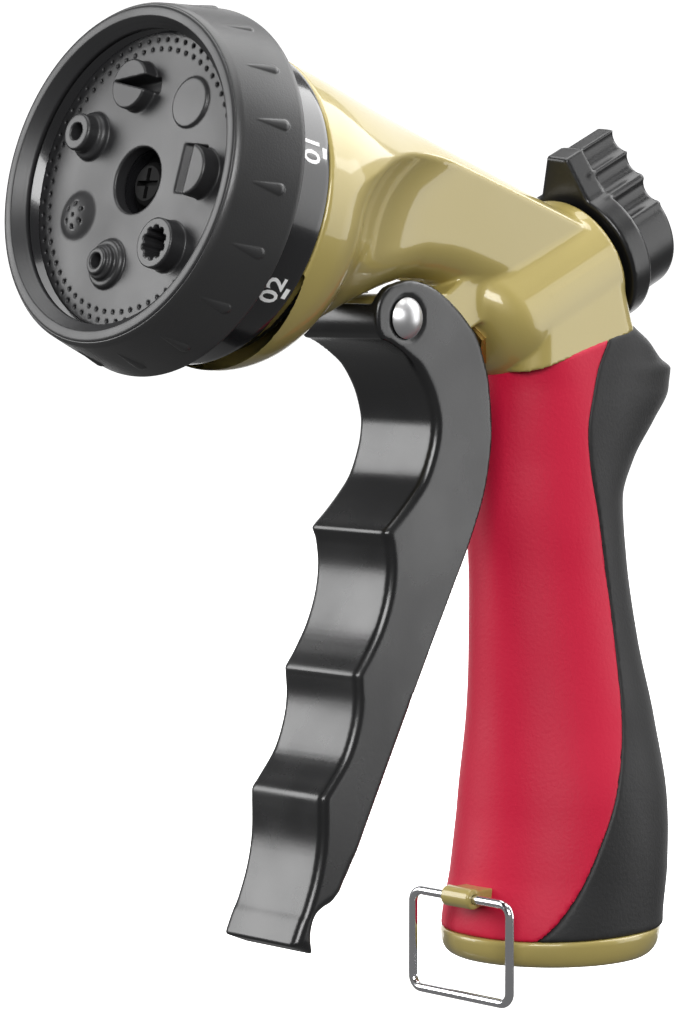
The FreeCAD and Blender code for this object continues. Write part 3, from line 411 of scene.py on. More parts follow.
def handle_field(x, y, z):
    zc = np.clip(z, STATIONS[0, 0], STATIONS[-1, 0])
    middle, half, front, rear = (monotone(zc, STATIONS, k) for k in (1, 2, 3, 4))
    dy = y - middle
    depth = np.where(dy > 0, rear, front)
    square = 2.0 + sum(more * smooth_step((z - start) / over) for more, start, over in SQUARER)
    q = ((np.abs(x) / half) ** square + (np.abs(dy) / depth) ** square + TINY) ** (1 / square)
    scale = np.minimum(half, depth)
    return (q - 1) * np.sqrt(scale * np.hypot(x, dy) / np.maximum(q, LEAST_Q)) * HANDLE_SCALE


def grip_field(x, y, z, side):
    """Skin on one side of the split line: side is 1 for the front grip and -1 for the rear one."""
    outer = handle_field(x, y, z)
    top = (z - GRIP_TOP - SEAM_SLOPE * y) * SEAM_SCALE
    split = np.interp(z, SPLIT_LINE[:, 1], SPLIT_LINE[:, 0])
    tilt = 1 / np.sqrt(1 + np.gradient(SPLIT_LINE[:, 0], SPLIT_LINE[:, 1]) ** 2)
    part = side * (y - split) * np.interp(z, SPLIT_LINE[:, 1], tilt)
    shell = round_common(outer, part + SPLIT_GAP, SPLIT_ROUND)
    shell = round_common(shell, top, TOP_ROUND)
    shell = round_common(shell, GRIP_FOOT - z, FOOT_ROUND)
    core = np.maximum(outer + GRIP_SKIN, z - CORE_TOP)
    shell = np.maximum(shell, -core)
    along, high = in_valve(y, z)
    return round_cut(shell, bore(x, high, along, KNOB_ROOM), KNOB_ROOM_ROUND)


front_grip = carved("front_grip_cover", lambda x, y, z: grip_field(x, y, z, 1),
                    (-21, -22, 3.5), (21, 9, 118), 0.6)
rear_grip = carved("rear_grip_cover", lambda x, y, z: grip_field(x, y, z, -1),
                   (-21, -20, 3.5), (21, 29, 121), 0.6)

# ---------------------------------------------------------------- trigger
FRONT_LINE = curve_through([(-47.3, 124.4), (-51.2, 123.2), (-53.4, 120.6), (-53.8, 117.6),
                            (-53.3, 115.2)], 6)
SCALLOP_1 = curve_through([(-52.4, 114.5), (-50.0, 113.7), (-47.0, 112.0), (-44.6, 109.9),
                           (-42.6, 107.5), (-40.8, 104.4), (-39.6, 100.6), (-39.5, 98.0), (-40.2, 94.7),
                           (-42.2, 90.1), (-45.0, 86.8), (-48.3, 83.7), (-50.6, 81.8),
                           (-51.45, 80.9)], 5)
SCALLOP_2 = curve_through([(-51.2, 80.2), (-50.5, 78.3), (-50.1, 74.1), (-50.8, 69.4), (-52.8, 64.3),
                           (-55.6, 59.9), (-57.7, 57.2), (-58.1, 56.5)], 5)
SCALLOP_3 = curve_through([(-58.0, 55.7), (-57.8, 51.7), (-58.5, 47.6), (-60.6, 42.6), (-64.1, 38.3),
                           (-65.8, 36.4), (-66.1, 35.6)], 5)
SCALLOP_4 = curve_through([(-66.1, 34.6), (-66.2, 28.1), (-67.3, 22.5), (-69.4, 17.1), (-70.8, 14.7),
                           (-72.5, 11.0)], 5)
HOOK = curve_through([(-67.6, 9.1), (-68.0, 11.7), (-67.8, 13.8), (-66.9, 15.7), (-65.2, 16.8),
                      (-63.1, 17.6), (-61.3, 19.2)], 4)
BACK_LINE = curve_through([(-59.0, 23.6), (-45.0, 51.0), (-32.3, 75.1), (-31.5, 76.6), (-28.2, 83.9),
                           (-26.6, 88.9), (-25.6, 94.6), (-25.4, 98.5), (-26.2, 106.2), (-27.5, 110.4),
                           (-29.7, 115.1), (-35.0, 120.1), (-40.2, 123.3), (-44.7, 124.5),
                           (-47.3, 124.4)], 4)
TRIGGER_SHAPE = np.vstack([FRONT_LINE[:-1], SCALLOP_1, SCALLOP_2, SCALLOP_3, SCALLOP_4, HOOK,
                           BACK_LINE[:-1]])
TRIGGER_HOLLOW = [(-41.5, 130.0), (-41.5, 118.0), (-43.0, 112.6), (-40.3, 109.2), (-37.7, 103.8),
                  (-36.8, 97.3), (-38.4, 90.5), (-43.0, 84.6), (-47.8, 79.6), (-48.2, 70.0),
                  (-51.6, 61.0), (-54.8, 54.0), (-56.0, 46.0), (-60.4, 38.0), (-63.2, 32.0),
                  (-63.4, 26.5), (-64.2, 22.0), (-55.0, 18.0), (-10.0, 60.0), (-10.0, 130.0)]
FRONT_EDGE = np.vstack([FRONT_LINE, SCALLOP_1, SCALLOP_2, SCALLOP_3, SCALLOP_4])


def near_line(y, z, line):
    """Distance to the nearest of the line's points, every third one taken."""
    best = np.full(np.shape(y), FAR)
    for a in line[::3]:
        best = np.minimum(best, (y - a[0]) ** 2 + (z - a[1]) ** 2)
    return np.sqrt(best)


class FlatGrid:
    """A field of y and z kept on a fine grid, so that a thick piece need not work it out at every x."""

    def __init__(self, field, low, high, step):
        self.low, self.step = low, step
        ys, zs = (np.arange(a, b, step) for a, b in zip(low, high))
        self.values = field(*np.meshgrid(ys, zs, indexing="ij"))

    def __call__(self, y, z):
        u, v = (y - self.low[0]) / self.step, (z - self.low[1]) / self.step
        u = np.clip(u, 0, self.values.shape[0] - 1.001)
        v = np.clip(v, 0, self.values.shape[1] - 1.001)
        i, j = u.astype(int), v.astype(int)
        s, t = u - i, v - j
        g = self.values
        near, far = (g[i, j + k] * (1 - s) + g[i + 1, j + k] * s for k in (0, 1))
        return near * (1 - t) + far * t


AREA = ((-78, 4), (-18, 130))
outline_grid = FlatGrid(lambda y, z: polygon(y, z, TRIGGER_SHAPE), *AREA, 0.15)
hollow_grid = FlatGrid(lambda y, z: polygon(y, z, TRIGGER_HOLLOW), *AREA, 0.25)
front_grid = FlatGrid(lambda y, z: near_line(y, z, FRONT_EDGE), *AREA, 0.4)


FOOT_HALF, EAR_WIDENS, EAR_HEIGHTS = 9.5, 0.65, (10, 125)
SIDE_EDGE, FINGER_EDGE, FINGER_DEPTH, FINGER_TOP, EDGE_CHANGE = 0.35, 1.15, 9, 112.5, 3
LUG_ROOM_FRONT, LUG_ROOM_REAR, LUG_ROOM_STEP, OPEN_ABOVE = 4.7, 5.4, 0.8, 120.5
HOLLOW_HALF, HOLLOW_ROUND, HOLLOW_EDGE = 8.2, 0.5, 0.3
PIN_HOLE, PIN_WELL, PIN_WELL_DEPTH = 2.45, 4.05, 0.35


def trigger_field(x, y, z):
    ax = np.abs(x)
    low, high = EAR_HEIGHTS
    half = FOOT_HALF + EAR_WIDENS * smooth_step((z - low) / (high - low))
    fingers = (smooth_step((FINGER_DEPTH - front_grid(y, z)) / EDGE_CHANGE)
               * smooth_step((FINGER_TOP - z) / EDGE_CHANGE))
    outer = round_common(outline_grid(y, z), ax - half, SIDE_EDGE + FINGER_EDGE * fingers)
    behind = PIVOT[0] + LUG_ROOM_STEP - y
    room = np.minimum(from_pivot(y, z, LUG_ROOM_FRONT),
                      np.maximum(from_pivot(y, z, LUG_ROOM_REAR), behind))
    mouth = np.maximum(slab(y, PIVOT[0] - LUG_ROOM_FRONT, PIVOT[0] + LUG_ROOM_REAR), PIVOT[1] - z)
    inner = np.minimum(np.minimum(hollow_grid(y, z), room), np.minimum(mouth, OPEN_ABOVE - z))
    inner = round_common(inner, ax - HOLLOW_HALF, HOLLOW_ROUND)
    body = round_cut(outer, inner, HOLLOW_EDGE)
    well = np.maximum(from_pivot(y, z, PIN_WELL), half - PIN_WELL_DEPTH - ax)
    return np.maximum(body, -np.minimum(from_pivot(y, z, PIN_HOLE), well))


trigger = carved("trigger_lever_skin", trigger_field, (-10.8, -75, 7.5), (10.8, -24, 126), 0.5)

# ---------------------------------------------------------------- flow knob, in its own frame
KNOB_TURN = -7.5
NOSE = [(-8.6, 4.8), (-2.3, 20.4), (2.3, 20.4), (8.6, 4.8)]
PEAR = [(-8.0, 2.0), (-9.9, 6.4), (-1.9, 20.4), (1.9, 20.4), (9.9, 6.4), (8.0, 2.0)]
GROOVES = [(4.1, 18.9), (6.6, 14.65), (9.4, 9.6)]
PLATE_RADIUS, PLATE_LEVELS, PLATE_ROUND = 13.7, (19.15, 24.3), 0.6
BULB_RADIUS, GRIP_LEVELS, GRIP_ROUND = 11.6, (22, 34.0), 0.8
TIP_HEIGHT, TIP_ROUND, GROOVE_RADIUS, GROOVE_ROUND = 20.6, 1.1, 2.6, 0.4
GROWN, NOSE_BLEND, BULB_BLEND, PLATE_BLEND = 0.1, 0.4, 0.5, 0.4
SPINDLE_HOLE, SCREW_WELL = (3.0, 0, 30), (3.4, 31.2, 50)


def knob_field(x, high, along):
    across, high = turned_by(KNOB_TURN, x, high)
    ax = np.abs(across)
    plate = soft_union(rod(ax, high, PLATE_RADIUS), polygon(ax, high, NOSE) - GROWN, NOSE_BLEND)
    base = round_common(plate, slab(along, *PLATE_LEVELS), PLATE_ROUND)
    pear = soft_union(polygon(ax, high, PEAR) - GROWN, rod(ax, high, BULB_RADIUS), BULB_BLEND)
    pear = round_common(pear, high - TIP_HEIGHT, TIP_ROUND)
    for gx, gh in GROOVES:
        pear = round_cut(pear, rod(ax - gx, high - gh, GROOVE_RADIUS), GROOVE_ROUND)
    grip = round_common(pear, slab(along, *GRIP_LEVELS), GRIP_ROUND)
    body = soft_union(base, grip, PLATE_BLEND)
    hole, well = (bore(ax, high, along, measures) for measures in (SPINDLE_HOLE, SCREW_WELL))
    return np.maximum(body, -np.minimum(hole, well))


knob = carved("flow_knob_skin", knob_field, (-15, -15, 18), (15, 21.5, 35.5), 0.4,
              lambda x, high, along: from_valve(x, along, high))

# ---------------------------------------------------------------- head
# clock angle in degrees and distance from the centre of each outlet
OUTLETS = {"fan": (347.0, 16.3), "soaker": (38.0, 16.4), "flat": (87.0, 16.0), "shower": (136.0, 15.8),
           "cone": (194.0, 14.8), "mist": (246.0, 15.0), "jet": (299.0, 15.6)}
FACE_AT, FACE_BACK, FACE_RADIUS, FACE_EDGE = 4.8, 7.3, 25.15, 0.35
CENTRE_HOLE, HOLE_EDGE = 5.65, 0.12
# plain bosses: radius and rise
BOSSES = {"fan": (4.25, 2.6), "soaker": (4.25, 0.5), "flat": (4.25, 3.4), "shower": (4.25, 3.2)}
BOSS_EDGE, BOSS_FOOT, STEP_FOOT = 0.3, 0.35, 0.4
# stepped nozzles: radius, rise and edge of each step
NOZZLES = {"cone": ((4.2, 1.0, 0.7), (2.95, 2.0, 0.35), (2.3, 2.8, 0.3)),
           "jet": ((4.1, 1.4, 0.9), (3.2, 3.8, 0.5))}
NOZZLE_HOLES = {"cone": 1.3, "jet": 1.5}
DOME_RADIUS, DOME_CENTRE, DOME_EDGE, DOME_FOOT = 7.6, 6.3, 4.3, 0.3
MIST_HOLES, MIST_CIRCLE, MIST_HOLE, MIST_DEPTH = 6, 2.0, 0.32, 0.2
NOTCH_TURN, NOTCH_APEX, NOTCH_SLOPE, NOTCH_FLOOR, NOTCH_REACH = -1.7, (-3.9, 0.5), 0.162, -1.6, 5.2
NOTCH_SCALE = 0.98
STEP_TURN, STEP_AT, STEP_FLOOR, STEP_REACH = -5.5, (16.3, 0.2), 0.02, 4.7
RAMP_TURN, RAMP_AT, RAMP_FALL, RAMP_SCALE = -4.6, (10.1, 1.95), 0.8, 0.78
RAMP_LENGTH, RAMP_HALF = 5.9, 4.1
TEETH, TOOTH_RADIUS, TOOTH_DEPTH, TOOTH_SHARE, TOOTH_SHARP = 10, 2.86, 0.42, 0.05, 3
# rings of tiny holes: radius and shift in pitches
HOLE_RINGS, RING_HOLES, RING_HOLE, RING_HOLE_DEPTH = ((22.4, 0.0), (24.0, 0.5)), 64, 0.3, 0.9


def spot(name):
    angle, radius = OUTLETS[name]
    return radius * math.sin(math.radians(angle)), radius * math.cos(math.radians(angle))


def face_field(x, v, back):
    """Face plate; out is the height in front of the plate."""
    out = FACE_AT - back
    r = np.hypot(x, v)
    plate = np.maximum(np.maximum(r - FACE_RADIUS, out), back - FACE_BACK)
    plate = round_common(plate, CENTRE_HOLE - r, FACE_EDGE)

    def around(name, radius):
        cx, cv = spot(name)
        return rod(x - cx, v - cv, radius)

    def standing(name, radius, rise, edge):
        return np.maximum(round_common(around(name, radius), out - rise, edge), back - FACE_BACK)

    for name, (radius, rise) in BOSSES.items():
        plate = soft_union(plate, standing(name, radius, rise, BOSS_EDGE), BOSS_FOOT)
    for name, steps in NOZZLES.items():
        for radius, rise, edge in steps:
            plate = soft_union(plate, standing(name, radius, rise, edge), STEP_FOOT)
    dome = np.hypot(around("mist", 0), out + DOME_CENTRE) - DOME_RADIUS
    dome = np.maximum(np.maximum(dome, around("mist", DOME_EDGE)), back - FACE_BACK)
    plate = soft_union(plate, dome, DOME_FOOT)

    cx, cv = spot("fan")
    u, w = turned_by(NOTCH_TURN, x - cx - NOTCH_APEX[0], v - cv - NOTCH_APEX[1])
    notch = np.maximum(np.abs(w) - NOTCH_SLOPE * u, NOTCH_FLOOR - out) * NOTCH_SCALE
    cuts = [np.maximum(notch, around("fan", NOTCH_REACH))]
    u, w = turned_by(STEP_TURN, x - STEP_AT[0], v - spot("flat")[1] - STEP_AT[1])
    cuts.append(np.maximum(np.maximum(u, STEP_FLOOR - out), around("flat", STEP_REACH)))
    u, w = turned_by(RAMP_TURN, x - RAMP_AT[0], v - RAMP_AT[1])
    ramp = np.maximum(-u, (-out - RAMP_FALL * u) * RAMP_SCALE)
    cuts.append(np.maximum(np.maximum(ramp, u - RAMP_LENGTH), np.abs(w) - RAMP_HALF))
    cx, cv = spot("shower")
    angle = np.arctan2(v - cv, x - cx)
    teeth = TOOTH_RADIUS - TOOTH_DEPTH * smooth_step((np.cos(TEETH * angle) - TOOTH_SHARE) * TOOTH_SHARP)
    cuts.append(around("shower", 0) - teeth)
    cuts += [around(name, radius) for name, radius in NOZZLE_HOLES.items()]
    cx, cv = spot("mist")
    circle = [(MIST_CIRCLE, FULL_TURN * i / MIST_HOLES) for i in range(MIST_HOLES)]
    for d, a in circle + [(0, 0)]:
        hole = rod(x - cx - d * math.sin(a), v - cv - d * math.cos(a), MIST_HOLE)
        cuts.append(np.maximum(hole, MIST_DEPTH - out))
    angle, pitch = np.arctan2(x, v), FULL_TURN / RING_HOLES
    for ring, shift in HOLE_RINGS:
        a = (angle / pitch - shift + 0.5) % 1 - 0.5
        cuts.append(np.maximum(np.hypot(a * pitch * ring, r - ring) - RING_HOLE, -RING_HOLE_DEPTH - out))
    for c in cuts:
        plate = round_cut(plate, c, HOLE_EDGE)
    return plate


face = carved("spray_face_skin", face_field, (-25.6, -25.6, 0.8), (25.6, 25.6, 7.8), 0.28,
              lambda x, v, back: from_head(x, back, v))

RING_FRONT, RING_REAR, RING_DEPTH, RING_BULGE = 29.0, 31.7, 13.0, 0.12
FLARE = (RING_REAR - RING_FRONT) / RING_DEPTH
RIBS, RIB_TURN, RIB_START, RIB_LENGTH = 18, 11.6, 3.9, 4.9
RIB_HALF, RIB_HALF_GROWS, RIB_RISE, RIB_RISE_GROWS, RIB_CROWN = 0.16, 0.84, 0.06, 0.34, 0.6
RIB_LEAD, FLANK_FROM = 0.05, 28.7
RING_SEGMENTS, BEZEL_SEGMENTS, DIAL_SEGMENTS = 1500, 512, 256


def rib_height(angle, back, radius):
    """Raised drops on the ring's flank, widest and highest at their rounded rear ends."""
    pitch = FULL_TURN / RIBS
    side = (((angle - math.radians(RIB_TURN)) / pitch + 0.5) % 1 - 0.5) * pitch * radius
    t = (back - RIB_START) / RIB_LENGTH
    half = RIB_HALF + RIB_HALF_GROWS * np.clip(t, 0, 1)
    past = np.maximum(back - RIB_START - RIB_LENGTH, 0)
    near = np.clip(1 - (np.hypot(side, past) / half) ** 2, 0, 1)
    rise = RIB_RISE + RIB_RISE_GROWS * np.clip(t, 0, 1)
    start = smooth_step((t + RIB_LEAD) / (2 * RIB_LEAD))
    return np.where(radius > FLANK_FROM, rise * near ** RIB_CROWN * start, 0)


flank_levels = [0.95, 1.6, 2.4, 3.2] + [3.7 + 0.2 * i for i in range(33)] + [10.4, 11.2, 12.0, 12.5]
ring_flank = [(RING_FRONT + FLARE * level + RING_BULGE * math.sin(math.pi * level / RING_DEPTH), level)
              for level in flank_levels]
DIAL_RADIUS = 27.4
MARK_HEIGHT, MARK_WEIGHT, FONT_SCALE, PRINT_HALF, PRINT_RAISE = 3.6, 0.0225, 1.42, 0.02, 0.03
DASH_HALF = (0.95, 0.45)
FIRST_MARK, MARK_BACK, DASH_BACK = 72.3, 20.1, 21.3
# (radius, distance behind the rim) round each closed section
ring_profile = ([(27.5, 13.0), (27.5, 3.0), (28.4, 0.6), (28.5, 0.24), (28.72, 0.3), (28.88, 0.5)]
                + ring_flank + [(31.58, 12.8), (31.3, 13.0), (29.5, 13.05)])
bezel_profile = [(27.6, 3.0), (25.25, 3.0), (25.2, 1.75), (25.62, 1.7), (25.66, 1.15), (26.1, 1.05),
                 (26.16, 0.55), (26.55, 0.45), (26.62, 0.1), (26.9, 0.0), (28.0, 0.0), (28.42, 0.09),
                 (28.55, 0.26), (28.45, 0.6)]
grip_ring = turned("grip_ring_skin", ring_profile[::-1], RING_SEGMENTS, from_head, rib_height)
bezel = turned("ring_bezel_skin", bezel_profile[::-1], BEZEL_SEGMENTS, from_head)
cup_profile = [(25.2, 22.6), (25.2, 3.0), (DIAL_RADIUS, 3.0), (DIAL_RADIUS, 12.5), (DIAL_RADIUS, 21.5),
               (DIAL_RADIUS, 22.3), (27.33, 22.48), (27.15, 22.6)]
dial = turned("dial_cup_skin", cup_profile[::-1], DIAL_SEGMENTS, from_head)


def wrapped_text(words, clock, back):
    """Thin printed mark wrapped on the dial; its top points forward and it reads up the near side."""
    data = bpy.data.curves.new("mark", "FONT")
    data.body, data.size, data.extrude, data.resolution_u = words, MARK_HEIGHT * FONT_SCALE, PRINT_HALF, 3
    data.align_x = "CENTER"
    data.offset = MARK_WEIGHT * MARK_HEIGHT
    text = linked("mark", data)
    mesh = bpy.data.meshes.new_from_object(text)
    bpy.data.objects.remove(text)
    points = np.array([v.co for v in mesh.vertices])
    faces = [tuple(p.vertices) for p in mesh.polygons]
    return wrap_on_dial(points, clock, back), faces


def wrap_on_dial(points, clock, back):
    angle = math.radians(clock) - points[:, 0] / DIAL_RADIUS
    radius = DIAL_RADIUS + PRINT_RAISE + points[:, 2]
    return np.stack(from_head(radius * np.sin(angle), back - points[:, 1], radius * np.cos(angle)), 1)


def dash(clock, back):
    u, w = DASH_HALF
    size = [(-u, -w), (u, -w), (u, w), (-u, w)]
    points = np.array([(x, y, h) for h in (-PRINT_HALF, PRINT_HALF) for x, y in size])
    faces = [(3, 2, 1, 0), (4, 5, 6, 7), (0, 1, 5, 4), (1, 2, 6, 5), (2, 3, 7, 6), (3, 0, 4, 7)]
    return wrap_on_dial(points, clock, back), faces


def joined(name, parts):
    points, faces = [], []
    for p, f in parts:
        base = sum(len(q) for q in points)
        points.append(p)
        faces += [tuple(i + base for i in g) for g in f]
    mesh = bpy.data.meshes.new(name)
    mesh.from_pydata((np.vstack(points) * MM).tolist(), [], faces)
    mesh.update()
    return linked(name, mesh)


marks = []
for number in range(len(OUTLETS)):
    clock = FIRST_MARK + 360 / len(OUTLETS) * number
    marks.append(wrapped_text(f"0{number + 1}", clock, MARK_BACK))
    marks.append(dash(clock, DASH_BACK))
numbers = joined("dial_numbers", marks)

# ---------------------------------------------------------------- hose end
HOSE_SEGMENTS = 160
AROUND = np.arange(HOSE_SEGMENTS) * FULL_TURN / HOSE_SEGMENTS
THREAD_RADIUS, THREAD_DEPTH, THREAD_PITCH, THREAD_CREST = 13.5, 0.85, 2.2, 1.5
THREAD_LOW, THREAD_HIGH, LOW_FADE, HIGH_FADE = 0.8, 10.4, 1.2, 0.8
THREAD_TOP, THREAD_RINGS, THREAD_STEP = 10.9, 49, 0.22


def ring_points(radii_x, radii_y, centre_y, z):
    level = np.full(HOSE_SEGMENTS, z)
    return np.stack([radii_x * np.cos(AROUND), centre_y + radii_y * np.sin(AROUND), level], 1)


def stacked(name, rings):
    """Closed skin through rings of equal size; the last joins the first."""
    return mesh_object(name, np.vstack(rings), closed_both_ways(len(rings), len(rings[0])))


def thread_ring(z):
    """One level of the female thread."""
    wave = 0.5 - 0.5 * np.cos(FULL_TURN * (z / THREAD_PITCH - AROUND / FULL_TURN))
    fade = smooth_step((z - THREAD_LOW) / LOW_FADE) * smooth_step((THREAD_HIGH - z) / HIGH_FADE)
    r = THREAD_RADIUS - THREAD_DEPTH * wave ** THREAD_CREST * fade
    return ring_points(r, r, 0.0, z)


# half width, half depth, middle and height, up the outside, over the top and down the bore
BASE_OUTSIDE = [(17.6, 17.9, 0.0, 0.0), (18.2, 18.7, 0.05, 0.12), (18.6, 19.4, 0.1, 0.45),
                (18.95, 20.1, 0.15, 1.0), (19.2, 20.7, 0.25, 1.8), (19.4, 21.05, 0.3, 2.8),
                (19.5, 21.2, 0.4, 3.9), (19.5, 21.2, 0.4, 4.5), (19.35, 21.05, 0.4, 4.82),
                (19.0, 20.7, 0.4, 4.95)]
BASE_INSIDE = [(14.9, 4.95), (14.9, 16.5), (9.0, 16.5), (9.0, 13.2), (13.9, 13.2), (13.9, 11.0)]
BASE_MOUTH = [(13.6, 0.08), (13.9, 0.0)]
base_rings = [ring_points(*measures) for measures in BASE_OUTSIDE]
base_rings += [ring_points(radius, radius, 0.0, z) for radius, z in BASE_INSIDE]
base_rings += [thread_ring(THREAD_TOP - THREAD_STEP * i) for i in range(THREAD_RINGS)]
base_rings += [ring_points(radius, radius, 0.0, z) for radius, z in BASE_MOUTH]
base = stacked("hose_base_skin", base_rings[::-1])

RING_AXIS = (-23.1, 12.6)
BRACKET_HALF, BRACKET_THICK, BRACKET_REAR, BRACKET_ROUND, BRACKET_END = 3.5, 1.5, -16.2, 0.35, 0.3
KNUCKLE_RADIUS, KNUCKLE_ROUND, KNUCKLE_BLEND, WIRE_HOLE = 1.9, 0.4, 0.6, 0.875


def bracket_field(x, y, z):
    side, dy, dz = np.abs(x) - BRACKET_HALF, y - RING_AXIS[0], z - RING_AXIS[1]
    block = round_common(side, np.abs(dz) - BRACKET_THICK, BRACKET_ROUND)
    block = round_common(block, slab(y, RING_AXIS[0], BRACKET_REAR), BRACKET_END)
    knuckle = round_common(rod(dy, dz, KNUCKLE_RADIUS), side, KNUCKLE_ROUND)
    body = soft_union(block, knuckle, KNUCKLE_BLEND)
    return np.maximum(body, -rod(dy, dz, WIRE_HOLE))


bracket = carved("ring_bracket_skin", bracket_field, (-4.2, -25.6, 10), (4.2, -15.6, 15.2), 0.2)

# ---------------------------------------------------------------- materials
MOTTLE_SCALE, MOTTLE_DETAIL, MOTTLE_SPAN = 60.0, 5, (0.3, 0.7)
GRAIN_DETAIL, GRAIN_HEIGHT, LEAST_ROUGH = 3, 0.0002, 0.02


def material(name, colour, rough, grain, grain_size, metallic=0.0, coat=0.0, coat_rough=0.1, tint=0.06,
             rough_var=0.06, specular=0.5):
    """Material with its own grain, mottling and roughness change, all from object coordinates."""
    made = bpy.data.materials.new(name)
    made.use_nodes = True
    tree = made.node_tree
    shader = tree.nodes["Principled BSDF"]
    link = tree.links.new
    place = tree.nodes.new("ShaderNodeTexCoord")
    cloud = tree.nodes.new("ShaderNodeTexNoise")
    cloud.inputs["Scale"].default_value = MOTTLE_SCALE
    cloud.inputs["Detail"].default_value = MOTTLE_DETAIL
    link(place.outputs["Object"], cloud.inputs["Vector"])
    ramp = tree.nodes.new("ShaderNodeMix")
    ramp.data_type = "RGBA"
    dark = [c * (1 - tint) for c in colour]
    light = [min(c * (1 + tint), 1) for c in colour]
    ramp.inputs[6].default_value = (*dark, 1)
    ramp.inputs[7].default_value = (*light, 1)
    link(cloud.outputs["Fac"], ramp.inputs[0])
    link(ramp.outputs[2], shader.inputs["Base Color"])
    spread = tree.nodes.new("ShaderNodeMapRange")
    spread.inputs["From Min"].default_value, spread.inputs["From Max"].default_value = MOTTLE_SPAN
    spread.inputs["To Min"].default_value = max(rough - rough_var, LEAST_ROUGH)
    spread.inputs["To Max"].default_value = min(rough + rough_var, 1)
    link(cloud.outputs["Fac"], spread.inputs["Value"])
    link(spread.outputs["Result"], shader.inputs["Roughness"])
    shader.inputs["Metallic"].default_value = metallic
    shader.inputs["Coat Weight"].default_value = coat
    shader.inputs["Coat Roughness"].default_value = coat_rough
    shader.inputs["Specular IOR Level"].default_value = specular
    fine = tree.nodes.new("ShaderNodeTexNoise")
    fine.inputs["Scale"].default_value = grain_size
    fine.inputs["Detail"].default_value = GRAIN_DETAIL
    link(place.outputs["Object"], fine.inputs["Vector"])
    bump = tree.nodes.new("ShaderNodeBump")
    bump.inputs["Strength"].default_value = grain
    bump.inputs["Distance"].default_value = GRAIN_HEIGHT
    link(fine.outputs["Fac"], bump.inputs["Height"])
    link(bump.outputs["Normal"], shader.inputs["Normal"])
    return made


GOLD = material("champagne_gold", (0.37, 0.295, 0.085), 0.42, 0.04, 2600, metallic=0.1, coat=0.8,
                coat_rough=0.07, tint=0.035, rough_var=0.03)
RED = material("red_soft_touch", (0.53, 0.003, 0.036), 0.55, 0.26, 1500, specular=0.4)
CHARCOAL = material("charcoal_soft_touch", (0.013, 0.013, 0.0135), 0.55, 0.30, 1400, tint=0.12,
                    specular=0.4)
TRIGGER_BLACK = material("trigger_satin", (0.007, 0.007, 0.0075), 0.27, 0.04, 1800, tint=0.1,
                         specular=0.62)
KNOB_BLACK = material("knob_semigloss", (0.006, 0.006, 0.0065), 0.30, 0.06, 1700, tint=0.1)
HEAD_BLACK = material("ring_fine_grain", (0.018, 0.018, 0.0185), 0.40, 0.12, 3200, tint=0.08,
                      specular=0.75)
FACE_BLACK = material("face_matte", (0.020, 0.020, 0.021), 0.40, 0.04, 2400)
DIAL_BLACK = material("dial_gloss", (0.010, 0.010, 0.011), 0.16, 0.02, 1200, coat=0.3, coat_rough=0.05,
                      tint=0.1, rough_var=0.03)
PRINT_WHITE = material("printed_white", (0.85, 0.85, 0.85), 0.45, 0.04, 3000, tint=0.02)
STEEL = material("polished_steel", (0.74, 0.74, 0.76), 0.14, 0.03, 2200, metallic=1.0, tint=0.04,
                 rough_var=0.05)
BLACK_STEEL = material("black_oxide", (0.004, 0.004, 0.004), 0.7, 0.05, 1800, specular=0.12)
BRASS = material("turned_brass", (0.66, 0.46, 0.17), 0.25, 0.08, 1500, metallic=1.0)
PIN_STEEL = material("pin_satin", (0.66, 0.66, 0.67), 0.36, 0.03, 2200, metallic=1.0, tint=0.04)
RUBBER = material("seal_black_rubber", (0.02, 0.02, 0.02), 0.6, 0.2, 1200)
BY_SLOT = {"champagne_paint": GOLD, "red_grip": RED, "charcoal_grip": CHARCOAL,
           "trigger_black": TRIGGER_BLACK, "knob_black": KNOB_BLACK, "head_black": HEAD_BLACK,
           "face_black": FACE_BLACK, "dial_black": DIAL_BLACK, "dial_white": PRINT_WHITE,
           "steel": STEEL, "black_steel": BLACK_STEEL, "brass": BRASS, "seal_rubber": RUBBER}

SLOT_OF = {part["node"]: part["material_slot"] for part in frame["record"]["subparts"]}
for name, node in NODES.items():
    finish = PIN_STEEL if name in ("pivot_pin", "pivot_cap") else BY_SLOT[SLOT_OF[name]]
    if not node.material_slots:
        node.data.materials.append(finish)
    for slot in node.material_slots:
        slot.material = finish


def dress(piece, body, node, slot_name):
    piece.data.materials.clear()
    piece.data.materials.append(BY_SLOT[slot_name])
    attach(piece, body)
    if node:
        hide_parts(node)


dress(casting, "body", "body_casting", "champagne_paint")
dress(front_grip, "body", "front_grip", "red_grip")
dress(rear_grip, "body", "rear_grip", "charcoal_grip")
dress(trigger, "trigger_lever", "trigger", "trigger_black")
dress(knob, "flow_control", "flow_knob", "knob_black")
dress(face, "pattern_head", "spray_face", "face_black")
dress(grip_ring, "pattern_head", "grip_ring", "head_black")
dress(bezel, "pattern_head", "grip_ring", "face_black")
dress(dial, "pattern_head", "dial_cup", "dial_black")
dress(numbers, "pattern_head", None, "dial_white")
dress(base, "body", "hose_connector", "champagne_paint")
dress(bracket, "body", "ring_bracket", "champagne_paint")

# ---------------------------------------------------------------- stage, lights, camera
scene = bpy.context.scene
scene.view_settings.view_transform = "Standard"
scene.view_settings.look = "None"
scene.view_settings.exposure = 0.0
CENTRE = Vector((0, -0.045, 0.085))
PLAIN_ROUGH, PLAIN_SPECULAR = 0.8, 0.1
FLOOR_RADIUS, FLOOR_LEVEL, FLOOR_GLOW, DOME_SIZE, WORLD_LIGHT = 6, -0.0075, 1.05, 8, 0.2


